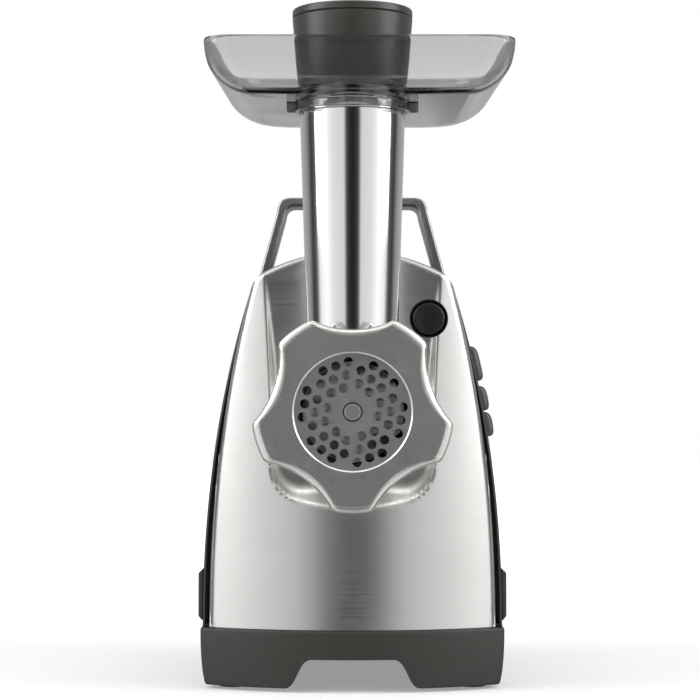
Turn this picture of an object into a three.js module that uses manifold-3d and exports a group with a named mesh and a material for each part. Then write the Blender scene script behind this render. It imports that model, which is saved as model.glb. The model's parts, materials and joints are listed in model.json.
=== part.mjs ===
// Electric meat grinder: an upright motor housing with a steel front, a removable grinding head with a feed
// tube, and a hopper tray on top. Millimetres, +Z up, the ring nut faces -Y, the part stands on z = 0.
import * as THREE from "three";
import { mergeVertices } from "three/addons/utils/BufferGeometryUtils.js";
import Module from "manifold-3d";

const wasm = await Module();
wasm.setup();

// ---------------------------------------------------------------- driving dimensions (mm)
// Depths are measured backwards from the ring nut's front face.
const GAP = 0.3; // between pieces that touch
const PLAY = 0.5; // around pieces that slide or turn

// base
const BASE_HEIGHT = 32.7;
const BASE_WALL = 3;
const BASE_LIFT = 2; // the feet hold it off the table
const BASE_CORNER = 18;
const BASE_PROUD = 1.1; // how far it stands out past the housing
const ARCH_HALF_FOOT = 36;
const ARCH_HALF_TOP = 21.5;
const ARCH_HEIGHT = 17.6;
const FOOT_RADIUS = 8;
const FOOT_STUD = 3;
const FOOT_INSET = 17; // from the base's side to the foot's centre

// housing
const BODY_HALF_WIDTH = 80.3; // at the foot of the housing
const BODY_TOP_HALF_WIDTH = 52.3; // at the shoulders
const BODY_HEIGHT = 201; // from its foot to the crown of its top
const BODY_TOP_RADIUS = 105; // of the arched top
const SIDE_CURVE = 2.17; // power by which the sides draw in
const SHOULDER_DROP = 12.5; // crown of the top above the shoulders
const SHOULDER_RADIUS = 8;
const HOUSING_WALL = 3;
const HOUSING_FRONT = 107;
const HOUSING_LENGTH = 155;
const REAR_COVER_LENGTH = 15;
const REAR_COVER_ROUND = 6;
const VENT_PROUD = 2.3; // how far the vent covers stand out past the housing
const VENT_LENGTH = 107;
const VENT_HEIGHT = 28;
const VENT_PITCH = 10;
const REAR_SLOTS = 6;
const REAR_SLOT_HALF = 26;
const REAR_SLOT_PITCH = 9;
const REAR_SLOT_HEIGHT = 4;
const GLAND_X = 46;
const GLAND_ABOVE_FOOT = 17;
const GLAND_RADIUS = 7;
const GLAND_BORE = 3.6;
const GLAND_PROUD = 2.7; // how far the cord gland stands out past the rear cover
const SCREW_RADIUS = 1.6;
const SCREW_HEAD = 3.4;
const BOSS_RADIUS = 4.6;
const BOSS_LENGTH = 27;

// steel front
const FASCIA_SET_IN = 3.7; // narrower than the housing on each side
const FASCIA_WALL = 2.4;
const FASCIA_DEPTH = 24; // from its nose to the housing's front
const FASCIA_BULGE = 22.43; // how far its nose stands in front of its sides
const FASCIA_LEAN = 0.018; // how much it leans back with height
const POCKET_DEPTH = 12; // from the nose to the flat dock face
const POCKET_SLOPE = 7; // how far the pocket's sides lean out
const POCKET_CORNER = 13;
const POCKET_MARGIN = 1.7; // around the dock

// carry handle
const HANDLE_ABOVE_BODY = 34.6;
const HANDLE_SET_IN = 10; // its top is narrower than the shoulders on each side
const HANDLE_CORNER = 8;
const HANDLE_BAND = 4.7;
const HANDLE_DEPTH = 28;
const HANDLE_SETBACK = 53; // behind the housing's front

// grinding head
const BARREL_BORE = 26.2; // radii
const BARREL_WALL = 3.3;
const BARREL_FRONT = 5;
const THREAD_WALL = 5.7; // of the barrel's rim around the plate
const PLATE_LAP = 4.8; // how far the plate is larger than the bore
const PLATE_THICKNESS = 6;
const PLATE_HOLE = 2.35;
const HOLE_PITCH = 6.6;
const PIN_RADIUS = 4.3;
const KNIFE_THICKNESS = 3;
const AUGER_PITCH = 27;
const AUGER_CORE_FRONT = 15;
const AUGER_CORE_BACK = 11;
const RING_WALL = 3.6; // at its scallops
const RING_GRIP = 9.2; // how far the lobes stand out past the scallops
const RING_SHOULDER = 2.1; // how far its front lip reaches over the plate
const RING_LENGTH = 24;
const RING_LIP = 3;
const LOBES = 5;
const TUBE_SET_IN = 3; // its foot is narrower than the barrel's bore
const TUBE_FLARE = 4.15;
const TUBE_WALL = 1.8;
const TUBE_ABOVE_BARREL = 3.5;
const TUBE_ABOVE_HANDLE = 38.4;
const NECK_WALL = 3.9;
const NECK_LAP = 8; // how far the tube sits in the barrel's neck
const NECK_SETBACK = 3.9; // behind the ring nut

// hopper tray and pusher
const TRAY_HALF_WIDTH = 78; // at the rim
const TRAY_NARROWING = 4; // towards its back
const TRAY_FRONT = 2; // depth of the rim's front and its length
const TRAY_LENGTH = 174;
const TRAY_HEIGHT = 26.5;
const TRAY_WALL = 2.6;
const TRAY_FLARE = 9; // how far the rim stands out past the floor
const TRAY_CORNER = 38;
const TRAY_FRONT_CORNER = 16;
const TRAY_SHIFT = 3.5; // the tray sits a little to the right
const TRAY_LIP = 1.8; // around the hole in its floor
const COLLAR_HEIGHT = 5;
const COLLAR_WALL = 2.2;
const PUSHER_FLARE = 5.45; // its top is wider than the tray's hole
const PUSHER_SEAT = 2.25; // and so is its seat
const PUSHER_HEAD = 43;
const PUSHER_SHORT = 14.6; // its stem is shorter than the tube
const PUSHER_WALL = 2.6;
const PUSHER_CAP_THICKNESS = 4;

// dock
const DOCK_WALL = 3.3;
const DOCK_PROUD = 2; // in front of the dock face
const DOCK_LUG_LENGTH = 3;
const DOCK_PLATE = 3;
const LUG_THICKNESS = 4;
const LUG_REACH = 5; // beyond the barrel's wall
const LUG_PLAY = 0.7; // around the lugs
const LUG_ANGLE = 28; // degrees
const LUG_CENTRES = [45, 165, 285];
const LATCH_ANGLE = 51; // degrees
const LATCH_RADIUS = 2;

// gear train
const TEETH_SMALL = 9;
const TEETH_BIG = 36;
const TEETH_FIRST = 45;
const MODULE_ONE = 1.2;
const MODULE_TWO = 5 / 3;
const MODULE_THREE = 2;
const TRAIN_ANGLES = [228, -21, 261]; // output to gear two, to gear one, to the motor
const BACKLASH = 0.35;
const TRAIN_CLEARANCE = 3.5;
const GEARBOX_SETBACK = 10; // behind the housing's front
const GEARBOX_WALL = 2.7;
const GEAR_WIDTH = 8;
const LAYER_GAP = 1.5; // between the planes of the gears
const AXLE_RADIUS = 3;
const BUSH_WALL = 3;
const SHAFT_RADIUS = 10.5;
const SHAFT_TAIL_RADIUS = 6;
const COUPLING_HEX = 8.5; // radius at the corners
const COUPLING_LENGTH = 15;
const COUPLING_POST = 3.5;
const KNIFE_SQUARE = 5; // half its side
const WASHER = 1.3;

// motor
const MOTOR_RADIUS = 32.2;
const MOTOR_ABOVE_FLOOR = 0.32;
const MOTOR_SETBACK = 5.3; // behind the gearbox
const STATOR_LENGTH = 44;
const BRACKET_LENGTH = 11;
const BRACKET_WALL = 3;
const BRACKET_PLATE = 3.5;
const BRUSH_ROOM = 19;
const ROTOR_RADIUS = 18.5;
const COMMUTATOR_RADIUS = 9.5;
const MOTOR_SHAFT = 4;
const FAN_INSET = 3.2; // smaller than the motor
const FAN_WIDTH = 9;

// buttons
const SIDE_BUTTON_SETBACK = 11; // behind the housing's front
const SIDE_BUTTON_WIDTH = 24;
const SIDE_BUTTON_PROUD = 4.5;
const SIDE_BUTTON_STEM = 8; // how far it reaches inwards
const SPRING_ROOM = 7.5; // between the highest button's stem and the board
const BUTTONS_ABOVE_AXIS = {
  power_button: [17.4, 36.3],
  forward_button: [1.2, 14.7],
  reverse_button: [-12.8, 0.6],
};
const RELEASE_X = 40.7;
const RELEASE_ABOVE_AXIS = 50.1;
const RELEASE_RADIUS = 8.7;
const RELEASE_CLEARANCE = 1.6;
const RELEASE_PROUD = 1;
const RELEASE_LENGTH = 13;
const RELEASE_SPRING = 14;
const BOARD_THICKNESS = 1.6;
const BOARD_TAIL = 40; // behind the buttons

// ---------------------------------------------------------------- sizes that follow from them
const FOOT_Z = BASE_HEIGHT + GAP; // of the housing
const BODY_TOP_Z = FOOT_Z + BODY_HEIGHT;
const SHOULDER_Z = BODY_TOP_Z - SHOULDER_DROP;
const BASE_HALF_WIDTH = BODY_HALF_WIDTH + BASE_PROUD;
const OVERALL_HALF_WIDTH = BODY_HALF_WIDTH + VENT_PROUD;
const HOUSING_BACK = HOUSING_FRONT + HOUSING_LENGTH;
const COVER_BACK = HOUSING_BACK + GAP + REAR_COVER_LENGTH;
const OVERALL_DEPTH = COVER_BACK + GLAND_PROUD;

const FASCIA_HALF_WIDTH = BODY_HALF_WIDTH - FASCIA_SET_IN;
const FASCIA_NOSE = HOUSING_FRONT - FASCIA_DEPTH;
const FASCIA_BACK = HOUSING_FRONT - GAP;
const FASCIA_RADIUS = (FASCIA_HALF_WIDTH ** 2 + FASCIA_BULGE ** 2) / (2 * FASCIA_BULGE); // in plan
const POCKET_FLOOR = FASCIA_NOSE + POCKET_DEPTH;

const rad = THREE.MathUtils.degToRad;
const at = (depth) => depth - OVERALL_DEPTH / 2; // y of a depth
const polar = (radius, degrees) => [radius * Math.cos(rad(degrees)), radius * Math.sin(rad(degrees))];
const step = ([x, z], distance, angle) => {
  const [dx, dz] = polar(distance, angle);
  return [x + dx, z + dz];
};

// The motor lies on the housing's floor, and the train of gears climbs from it to the drive axis.
const TRAIN_STEPS = [
  [((TEETH_SMALL + TEETH_BIG) * MODULE_THREE) / 2, TRAIN_ANGLES[0]],
  [((TEETH_SMALL + TEETH_BIG) * MODULE_TWO) / 2, TRAIN_ANGLES[1]],
  [((TEETH_SMALL + TEETH_FIRST) * MODULE_ONE) / 2, TRAIN_ANGLES[2]],
];
const TRAIN_DROP = -TRAIN_STEPS.reduce((height, [distance, angle]) => height + polar(distance, angle)[1], 0);
const AXIS_Z = FOOT_Z + HOUSING_WALL + MOTOR_ABOVE_FLOOR + MOTOR_RADIUS + TRAIN_DROP; // drive axis
const outputAt = [0, AXIS_Z];
const twoAt = step(outputAt, ...TRAIN_STEPS[0]);
const oneAt = step(twoAt, ...TRAIN_STEPS[1]);
const motorAt = step(oneAt, ...TRAIN_STEPS[2]);

const GEARBOX_FRONT = HOUSING_FRONT + GEARBOX_SETBACK;
const THREE_FRONT = GEARBOX_FRONT + GEARBOX_WALL + 1.3;
const TWO_FRONT = THREE_FRONT + GEAR_WIDTH + LAYER_GAP;
const ONE_FRONT = TWO_FRONT + GEAR_WIDTH + LAYER_GAP;
const CASE_INSIDE = ONE_FRONT + GEAR_WIDTH + 1;
const CASE_BACK = CASE_INSIDE + GEARBOX_WALL;
const MOTOR_FRONT = CASE_BACK + MOTOR_SETBACK;
const FAN_RADIUS = MOTOR_RADIUS - FAN_INSET;

const BARREL_OUTER = BARREL_BORE + BARREL_WALL;
const PLATE_RADIUS = BARREL_BORE + PLATE_LAP;
const BARREL_FLANGE = PLATE_RADIUS + THREAD_WALL; // threaded rim behind the ring nut
const RING_SCALLOP = BARREL_FLANGE + GAP + RING_WALL;
const RING_LOBE = RING_SCALLOP + RING_GRIP;
const RING_OPENING = PLATE_RADIUS - RING_SHOULDER;
const RIM_BACK = RING_LENGTH - 2; // of the barrel's threaded rim

const DOCK_BORE = BARREL_OUTER + LUG_REACH + LUG_PLAY;
const DOCK_RADIUS = DOCK_BORE + DOCK_WALL;
const DOCK_FRONT = POCKET_FLOOR - DOCK_PROUD;
const DOCK_BACK = HOUSING_FRONT - GAP;
const DOCK_FLOOR = DOCK_BACK - DOCK_PLATE;
const LUG_FRONT = DOCK_FRONT + DOCK_LUG_LENGTH + PLAY;
const BARREL_BACK = LUG_FRONT + LUG_THICKNESS;
const SHAFT_FRONT = BARREL_BACK + PLAY;
const DRIVE_HOLE = SHAFT_RADIUS + 1.5;
const POCKET_HALF = DOCK_RADIUS + POCKET_MARGIN;
const POCKET_BELOW_AXIS = POCKET_HALF + 0.2;

const HANDLE_TOP_Z = BODY_TOP_Z + HANDLE_ABOVE_BODY;
const HANDLE_HALF_TOP = BODY_TOP_HALF_WIDTH - HANDLE_SET_IN;
const HANDLE_FRONT = HOUSING_FRONT + HANDLE_SETBACK;

const TUBE_FOOT_RADIUS = BARREL_BORE - TUBE_SET_IN;
const TUBE_TOP_RADIUS = TUBE_FOOT_RADIUS + TUBE_FLARE;
const NECK_RADIUS = TUBE_FOOT_RADIUS + NECK_WALL;
const TUBE_DEPTH = RING_LENGTH + NECK_SETBACK + NECK_RADIUS; // of its axis
const TUBE_FOOT = AXIS_Z + BARREL_OUTER + TUBE_ABOVE_BARREL;
const TUBE_TOP = HANDLE_TOP_Z + TUBE_ABOVE_HANDLE;
const TUBE_LENGTH = TUBE_TOP - TUBE_FOOT;
const TRAY_FLOOR = TUBE_TOP + GAP;
const TRAY_RIM = TRAY_FLOOR + TRAY_HEIGHT;
const MOUTH = TUBE_TOP_RADIUS - TUBE_WALL; // radius of the hole in the tray's floor
const PUSHER_TOP_RADIUS = MOUTH + PUSHER_FLARE;
const PUSHER_SEAT_RADIUS = MOUTH + PUSHER_SEAT;

const SIDE_BUTTON_FRONT = HOUSING_FRONT + SIDE_BUTTON_SETBACK;
const BUTTON_BACK = SIDE_BUTTON_FRONT + SIDE_BUTTON_WIDTH;
const RELEASE_Z = AXIS_Z + RELEASE_ABOVE_AXIS;
const RELEASE_HOLE = RELEASE_RADIUS + RELEASE_CLEARANCE;
const RELEASE_FRONT = POCKET_FLOOR - RELEASE_PROUD;
const RELEASE_BACK = RELEASE_FRONT + RELEASE_LENGTH;
const RELEASE_SEAT = RELEASE_BACK + RELEASE_SPRING;

// ---------------------------------------------------------------- finishes
const finish = (color, roughness, metalness = 0, extra = {}) =>
  new THREE.MeshStandardMaterial({ color, roughness, metalness, ...extra });
const STEEL = finish(0xc4c4c2, 0.32, 1);
const POLISHED = finish(0xd8d8d8, 0.12, 1);
const CAST = finish(0xc9c9c6, 0.38, 1);
const DARK = finish(0x3b3b37, 0.55);
const GREY = finish(0x55554f, 0.5);
const SMOKE = finish(0x8c8c8a, 0.15, 0, { transparent: true, opacity: 0.45 });
const RUBBER = finish(0x1d1d1c, 0.9);
const BLACK = finish(0x262622, 0.4);
const BUTTON = finish(0x54544f, 0.45);
const NYLON = finish(0xe6e2d4, 0.5);
const BRONZE = finish(0xb08a4a, 0.4, 1);
const BOARD = finish(0x2c5a3c, 0.6);
const CARBON = finish(0x2a2a2c, 0.7);

// ---------------------------------------------------------------- helpers
// A closed three.js geometry as a solid with its faces outwards.
function solid(geometry) {
  const bare = geometry.index ? geometry.toNonIndexed() : geometry.clone();
  bare.deleteAttribute("normal");
  bare.deleteAttribute("uv");
  const welded = mergeVertices(bare, 1e-4);
  const points = welded.attributes.position.array;
  const corners = welded.index.array;
  const triangles = [];
  let volume = 0;
  const [a, b, c] = [new THREE.Vector3(), new THREE.Vector3(), new THREE.Vector3()];
  for (let i = 0; i < corners.length; i += 3) {
    const [p, q, r] = [corners[i], corners[i + 1], corners[i + 2]];
    if (p === q || q === r || r === p) continue;
    a.fromArray(points, 3 * p);
    b.fromArray(points, 3 * q);
    c.fromArray(points, 3 * r);
    volume += a.dot(b.clone().cross(c));
    triangles.push(p, q, r);
  }
  if (volume < 0) triangles.reverse();
  const mesh = new wasm.Mesh({
    numProp: 3,
    vertProperties: Float32Array.from(points),
    triVerts: Uint32Array.from(triangles),
  });
  return new wasm.Manifold(mesh);
}

const join = (first, ...rest) => rest.reduce((whole, part) => whole.add(part), first);
const cut = (first, ...rest) => rest.reduce((whole, part) => whole.subtract(part), first);

// A block between two corners given as [x, depth, z].
function block([x0, d0, z0], [x1, d1, z1]) {
  const box = new THREE.BoxGeometry(x1 - x0, d1 - d0, z1 - z0);
  return solid(box.translate((x0 + x1) / 2, at((d0 + d1) / 2), (z0 + z1) / 2));
}

// An outline drawn in x and z, filled between two depths.
function slab(shape, d0, d1, curveSegments = 5) {
  const body = new THREE.ExtrudeGeometry(shape, { depth: d1 - d0, bevelEnabled: false, curveSegments });
  return solid(body.rotateX(Math.PI / 2).translate(0, at(d1), 0));
}

// An outline drawn in x and y, filled between two heights.
function plan(shape, z0, z1, curveSegments = 5) {
  const body = new THREE.ExtrudeGeometry(shape, { depth: z1 - z0, bevelEnabled: false, curveSegments });
  return solid(body.translate(0, 0, z0));
}

// A rod along the depth, and a turned form about the same direction from [radius, depth] pairs.
function rod(radius, d0, d1, x = 0, z = AXIS_Z, sides = 16) {
  const body = new THREE.CylinderGeometry(radius, radius, d1 - d0, sides);
  return solid(body.translate(x, at((d0 + d1) / 2), z));
}
function turned(profile, x = 0, z = AXIS_Z, sides = 16) {
  const points = profile.map(([r, d]) => new THREE.Vector2(r, at(d)));
  return solid(new THREE.LatheGeometry(points, sides).translate(x, 0, z));
}
const ring = (inner, outer, d0, d1, x = 0, z = AXIS_Z, sides = 16) =>
  turned([[inner, d0], [outer, d0], [outer, d1], [inner, d1], [inner, d0]], x, z, sides);

// An upright turned form from [radius, z] pairs, and a plain upright post between two heights.
function upright(profile, x, depth, sides = 16) {
  const points = profile.map(([r, h]) => new THREE.Vector2(r, h));
  return solid(new THREE.LatheGeometry(points, sides).rotateX(Math.PI / 2).translate(x, at(depth), 0));
}
const post = (radius, low, high, x = 0, depth = TUBE_DEPTH, sides = 24) =>
  upright([[0, low], [radius, low], [radius, high], [0, high]], x, depth, sides);

// A coil spring from one point to another, as a round wire bent along a helix.
function coil(start, end, radius, wire, turns) {
  const axis = new THREE.Vector3().subVectors(end, start);
  const length = axis.length();
  axis.normalize();
  const side = new THREE.Vector3(0, 0, 1);
  const other = new THREE.Vector3().crossVectors(axis, side);
  class Helix extends THREE.Curve {
    getPoint(t) {
      const angle = 2 * Math.PI * turns * t;
      const out = side.clone().multiplyScalar(radius * Math.cos(angle));
      out.addScaledVector(other, radius * Math.sin(angle));
      return out.add(start).addScaledVector(axis, length * t);
    }
  }
  const section = new THREE.Shape().absarc(0, 0, wire, 0, 2 * Math.PI);
  const options = { steps: turns * 6, extrudePath: new Helix(), curveSegments: 2, bevelEnabled: false };
  return solid(new THREE.ExtrudeGeometry(section, options));
}

const polygon = (pairs) => new THREE.Shape(pairs.map(([x, y]) => new THREE.Vector2(x, y)));

const grinder = new THREE.Group();
function add(name, body, material) {
  const { vertProperties, triVerts } = body.getMesh();
  const geometry = new THREE.BufferGeometry();
  geometry.setAttribute("position", new THREE.BufferAttribute(vertProperties, 3));
  geometry.setIndex(new THREE.BufferAttribute(triVerts, 1));
  geometry.computeVertexNormals();
  const mesh = new THREE.Mesh(geometry, material);
  mesh.name = name;
  grinder.add(mesh);
}

// ---------------------------------------------------------------- housing outline
// Half width of a body at a height, for a given half width at its foot.
function halfWidth(z, foot = BODY_HALF_WIDTH) {
  const rise = THREE.MathUtils.clamp((z - FOOT_Z) / (SHOULDER_Z - FOOT_Z), 0, 1);
  return foot - (foot - BODY_TOP_HALF_WIDTH) * rise ** SIDE_CURVE;
}

// Front view of the housing: curved sides, rounded shoulders and an arched top, drawn in by inset.
function outline(foot = BODY_HALF_WIDTH, inset = 0) {
  const SIDE_POINTS = 9;
  const low = FOOT_Z + inset;
  const high = SHOULDER_Z - SHOULDER_RADIUS;
  const radius = BODY_TOP_RADIUS - inset;
  const centre = BODY_TOP_Z - BODY_TOP_RADIUS;
  const shoulder = halfWidth(SHOULDER_Z, foot) - inset;
  const arcAngle = Math.asin((shoulder - SHOULDER_RADIUS) / radius);
  const corner = centre + Math.sqrt(radius ** 2 - shoulder ** 2);
  const side = [];
  for (let i = 0; i <= SIDE_POINTS; i += 1) {
    const z = low + ((high - low) * i) / SIDE_POINTS;
    side.push([halfWidth(z, foot) - inset, z]);
  }
  const shape = polygon(side);
  const arcEnd = [radius * Math.sin(arcAngle), centre + radius * Math.cos(arcAngle)];
  shape.quadraticCurveTo(shoulder, corner, ...arcEnd);
  shape.absarc(0, centre, radius, Math.PI / 2 - arcAngle, Math.PI / 2 + arcAngle, false);
  const [x, z] = side[SIDE_POINTS];
  shape.quadraticCurveTo(-shoulder, corner, -x, z);
  for (const [sx, sz] of side.reverse()) shape.lineTo(-sx, sz);
  return shape;
}

// ---------------------------------------------------------------- steel front
// An upright drum, slightly conical, whose front gives the bulge of the front.
function drum(nose, radius, low, high) {
  const depth = nose + radius;
  const top = radius - (high - low) * FASCIA_LEAN;
  return upright([[0, low], [radius, low], [top, high], [0, high]], 0, depth, 60);
}

// The dock pocket, open towards the front and upwards, grown by the wall for its inner side.
function pocket(grow) {
  const [waist, mouth] = [4, 14]; // how far it widens by just above the dock, and above the body
  const low = AXIS_Z - POCKET_BELOW_AXIS - grow;
  const middle = AXIS_Z + POCKET_BELOW_AXIS + 5;
  const high = BODY_TOP_Z + 20;
  const half = POCKET_HALF + grow;
  const bend = low + POCKET_CORNER;
  const shape = new THREE.Shape().moveTo(half - POCKET_CORNER, low);
  shape.quadraticCurveTo(half, low, half, bend);
  shape.lineTo(half + waist, middle);
  shape.lineTo(half + mouth, high);
  shape.lineTo(-half - mouth, high);
  shape.lineTo(-half - waist, middle);
  shape.lineTo(-half, bend);
  shape.quadraticCurveTo(-half, low, POCKET_CORNER - half, low);
  const options = { depth: 30, bevelThickness: POCKET_DEPTH, bevelSize: POCKET_SLOPE, bevelSegments: 1 };
  const body = new THREE.ExtrudeGeometry(shape, { ...options, curveSegments: 6 }).rotateX(Math.PI / 2);
  return solid(body.translate(0, at(POCKET_FLOOR + grow) - POCKET_DEPTH, 0));
}

{
  const foot = FASCIA_HALF_WIDTH;
  const skin = slab(outline(foot), FASCIA_NOSE - 5, FASCIA_BACK)
    .intersect(drum(FASCIA_NOSE, FASCIA_RADIUS, FOOT_Z - 1, BODY_TOP_Z + 10));
  const radius = FASCIA_RADIUS - FASCIA_WALL;
  const hollow = slab(outline(foot, FASCIA_WALL), FASCIA_NOSE, FASCIA_BACK + 1)
    .intersect(drum(FASCIA_NOSE + FASCIA_WALL, radius, FOOT_Z - 1, BODY_TOP_Z + 10))
    .subtract(pocket(FASCIA_WALL));
  const dockHole = rod(DOCK_RADIUS + GAP, POCKET_FLOOR - 5, FASCIA_BACK, 0, AXIS_Z, 28);
  const button = rod(RELEASE_HOLE, POCKET_FLOOR - 15, POCKET_FLOOR + 8, RELEASE_X, RELEASE_Z);
  add("front_fascia", cut(skin, pocket(0), hollow, dockHole, button), STEEL);
}

// ---------------------------------------------------------------- main housing
// Side buttons follow the slope of the right wall; each is a block between two heights.
const BUTTON_SPANS = Object.fromEntries(Object.entries(BUTTONS_ABOVE_AXIS)
  .map(([name, [low, high]]) => [name, [AXIS_Z + low, AXIS_Z + high]]));
function sideBlock(low, high, d0, d1, inner, outer) {
  const pairs = [[halfWidth(low) + inner, low], [halfWidth(low) + outer, low]];
  pairs.push([halfWidth(high) + outer, high], [halfWidth(high) + inner, high]);
  return slab(polygon(pairs), d0, d1);
}

const VENT_LOW = FOOT_Z + 3;
const VENT_HIGH = VENT_LOW + VENT_HEIGHT;
const VENT_FRONT = HOUSING_FRONT + 1;
const VENT_BACK = VENT_FRONT + VENT_LENGTH;
const SCREW_HOLE = SCREW_RADIUS + GAP;
const REAR_SCREW_INSET = 12; // from the shoulders
const BASE_SCREW_INSET = [32.3, 18]; // from the housing's side and its ends
const rearScrews = [-1, 1].map((side) => [side * (BODY_TOP_HALF_WIDTH - REAR_SCREW_INSET), SHOULDER_Z - 4]);
const baseScrews = [-1, 1].flatMap((side) => {
  const x = side * (BODY_HALF_WIDTH - BASE_SCREW_INSET[0]);
  return [[x, HOUSING_FRONT + BASE_SCREW_INSET[1]], [x, HOUSING_BACK - BASE_SCREW_INSET[1]]];
});
{
  const wall = HOUSING_WALL;
  let shell = slab(outline(), HOUSING_FRONT, HOUSING_BACK);
  shell = cut(shell, slab(outline(BODY_HALF_WIDTH, wall), HOUSING_FRONT - 1, HOUSING_BACK + 1));
  for (const [x, z] of rearScrews) {
    const boss = rod(BOSS_RADIUS, HOUSING_BACK - BOSS_LENGTH, HOUSING_BACK, x, z, 16);
    const web = block([x - 1.2, HOUSING_BACK - BOSS_LENGTH, z], [x + 1.2, HOUSING_BACK, z + 7]);
    shell = join(shell, boss, web);
  }
  for (const [x, z] of rearScrews) {
    shell = cut(shell, rod(SCREW_HOLE, HOUSING_BACK - BOSS_LENGTH + 7, HOUSING_BACK + 1, x, z, 12));
  }
  for (const [low, high] of Object.values(BUTTON_SPANS)) {
    const hole = sideBlock(low - PLAY, high + PLAY, SIDE_BUTTON_FRONT - PLAY, BUTTON_BACK + PLAY, -12, 12);
    shell = cut(shell, hole);
  }
  for (const side of [-1, 1]) {
    const [inside, outside] = [BODY_HALF_WIDTH - 12, BODY_HALF_WIDTH + 5];
    const x0 = Math.min(side * inside, side * outside);
    const x1 = x0 + outside - inside;
    const window = block([x0, VENT_FRONT + 8, VENT_LOW + 5], [x1, VENT_BACK - 8, VENT_HIGH - 5]);
    shell = cut(shell, window);
  }
  for (const [x, d] of baseScrews) {
    shell = cut(shell, post(SCREW_HOLE, FOOT_Z - 1, FOOT_Z + HOUSING_WALL + 2, x, d, 12));
  }
  add("main_housing", shell, DARK);
}

// Rear cover, with rounded rear edges, fan slots and a hole for the cord gland.
const GLAND_Z = FOOT_Z + GLAND_ABOVE_FOOT;
const REAR_SLOTS_Z = FOOT_Z + 23;
{
  const d0 = HOUSING_BACK + GAP;
  const round = REAR_COVER_ROUND;
  const options = { depth: REAR_COVER_LENGTH - 2 * round, bevelThickness: round, bevelSize: round };
  const finer = { ...options, bevelOffset: -round, bevelSegments: 2, curveSegments: 5 };
  const rounded = new THREE.ExtrudeGeometry(outline(), finer);
  rounded.rotateX(Math.PI / 2).translate(0, at(COVER_BACK) - round, 0);
  let shell = join(solid(rounded), slab(outline(), d0, d0 + REAR_COVER_LENGTH / 2));
  shell = cut(shell, slab(outline(BODY_HALF_WIDTH, HOUSING_WALL), d0 - 1, COVER_BACK - HOUSING_WALL));
  for (let i = 0; i < REAR_SLOTS; i += 1) {
    const z = REAR_SLOTS_Z + REAR_SLOT_PITCH * i;
    const [left, right] = [-REAR_SLOT_HALF, REAR_SLOT_HALF];
    shell = cut(shell, block([left, COVER_BACK - 8, z], [right, COVER_BACK + 1, z + REAR_SLOT_HEIGHT]));
  }
  for (const [x, z] of rearScrews) {
    const r = BOSS_RADIUS;
    const seat = block([x - r, d0, z - r], [x + r, COVER_BACK - 1, z + 7]);
    shell = cut(join(shell, seat), rod(SCREW_HOLE, d0 - 1, COVER_BACK + 1, x, z, 12));
    shell = cut(shell, rod(SCREW_HEAD + GAP, COVER_BACK - 3, COVER_BACK + 1, x, z, 16));
  }
  shell = cut(shell, rod(GLAND_RADIUS + GAP, d0 - 1, COVER_BACK + 1, GLAND_X, GLAND_Z));
  add("rear_cover", shell, DARK);
  rearScrews.forEach(([x, z], i) => {
    const back = COVER_BACK - 0.4;
    const seat = COVER_BACK - 2.7;
    const tip = HOUSING_BACK - 16;
    const profile = [[0, tip], [SCREW_RADIUS, tip], [SCREW_RADIUS, seat], [SCREW_HEAD, seat]];
    profile.push([SCREW_HEAD, back], [0, back]);
    const cross = block([x - 2, back - 1.2, z - 0.4], [x + 2, back + 1, z + 0.4]);
    const other = block([x - 0.4, back - 1.2, z - 2], [x + 0.4, back + 1, z + 2]);
    add(`rear_screw_${["left", "right"][i]}`, cut(turned(profile, x, z, 16), cross, other), STEEL);
  });
  const inner = COVER_BACK - 12;
  const gland = [[GLAND_BORE, inner], [GLAND_RADIUS, inner], [GLAND_RADIUS, OVERALL_DEPTH - 1]];
  gland.push([GLAND_RADIUS - 1, OVERALL_DEPTH], [GLAND_BORE, OVERALL_DEPTH], [GLAND_BORE, inner]);
  add("cord_gland", turned(gland, GLAND_X, GLAND_Z, 24), RUBBER);
}

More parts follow.
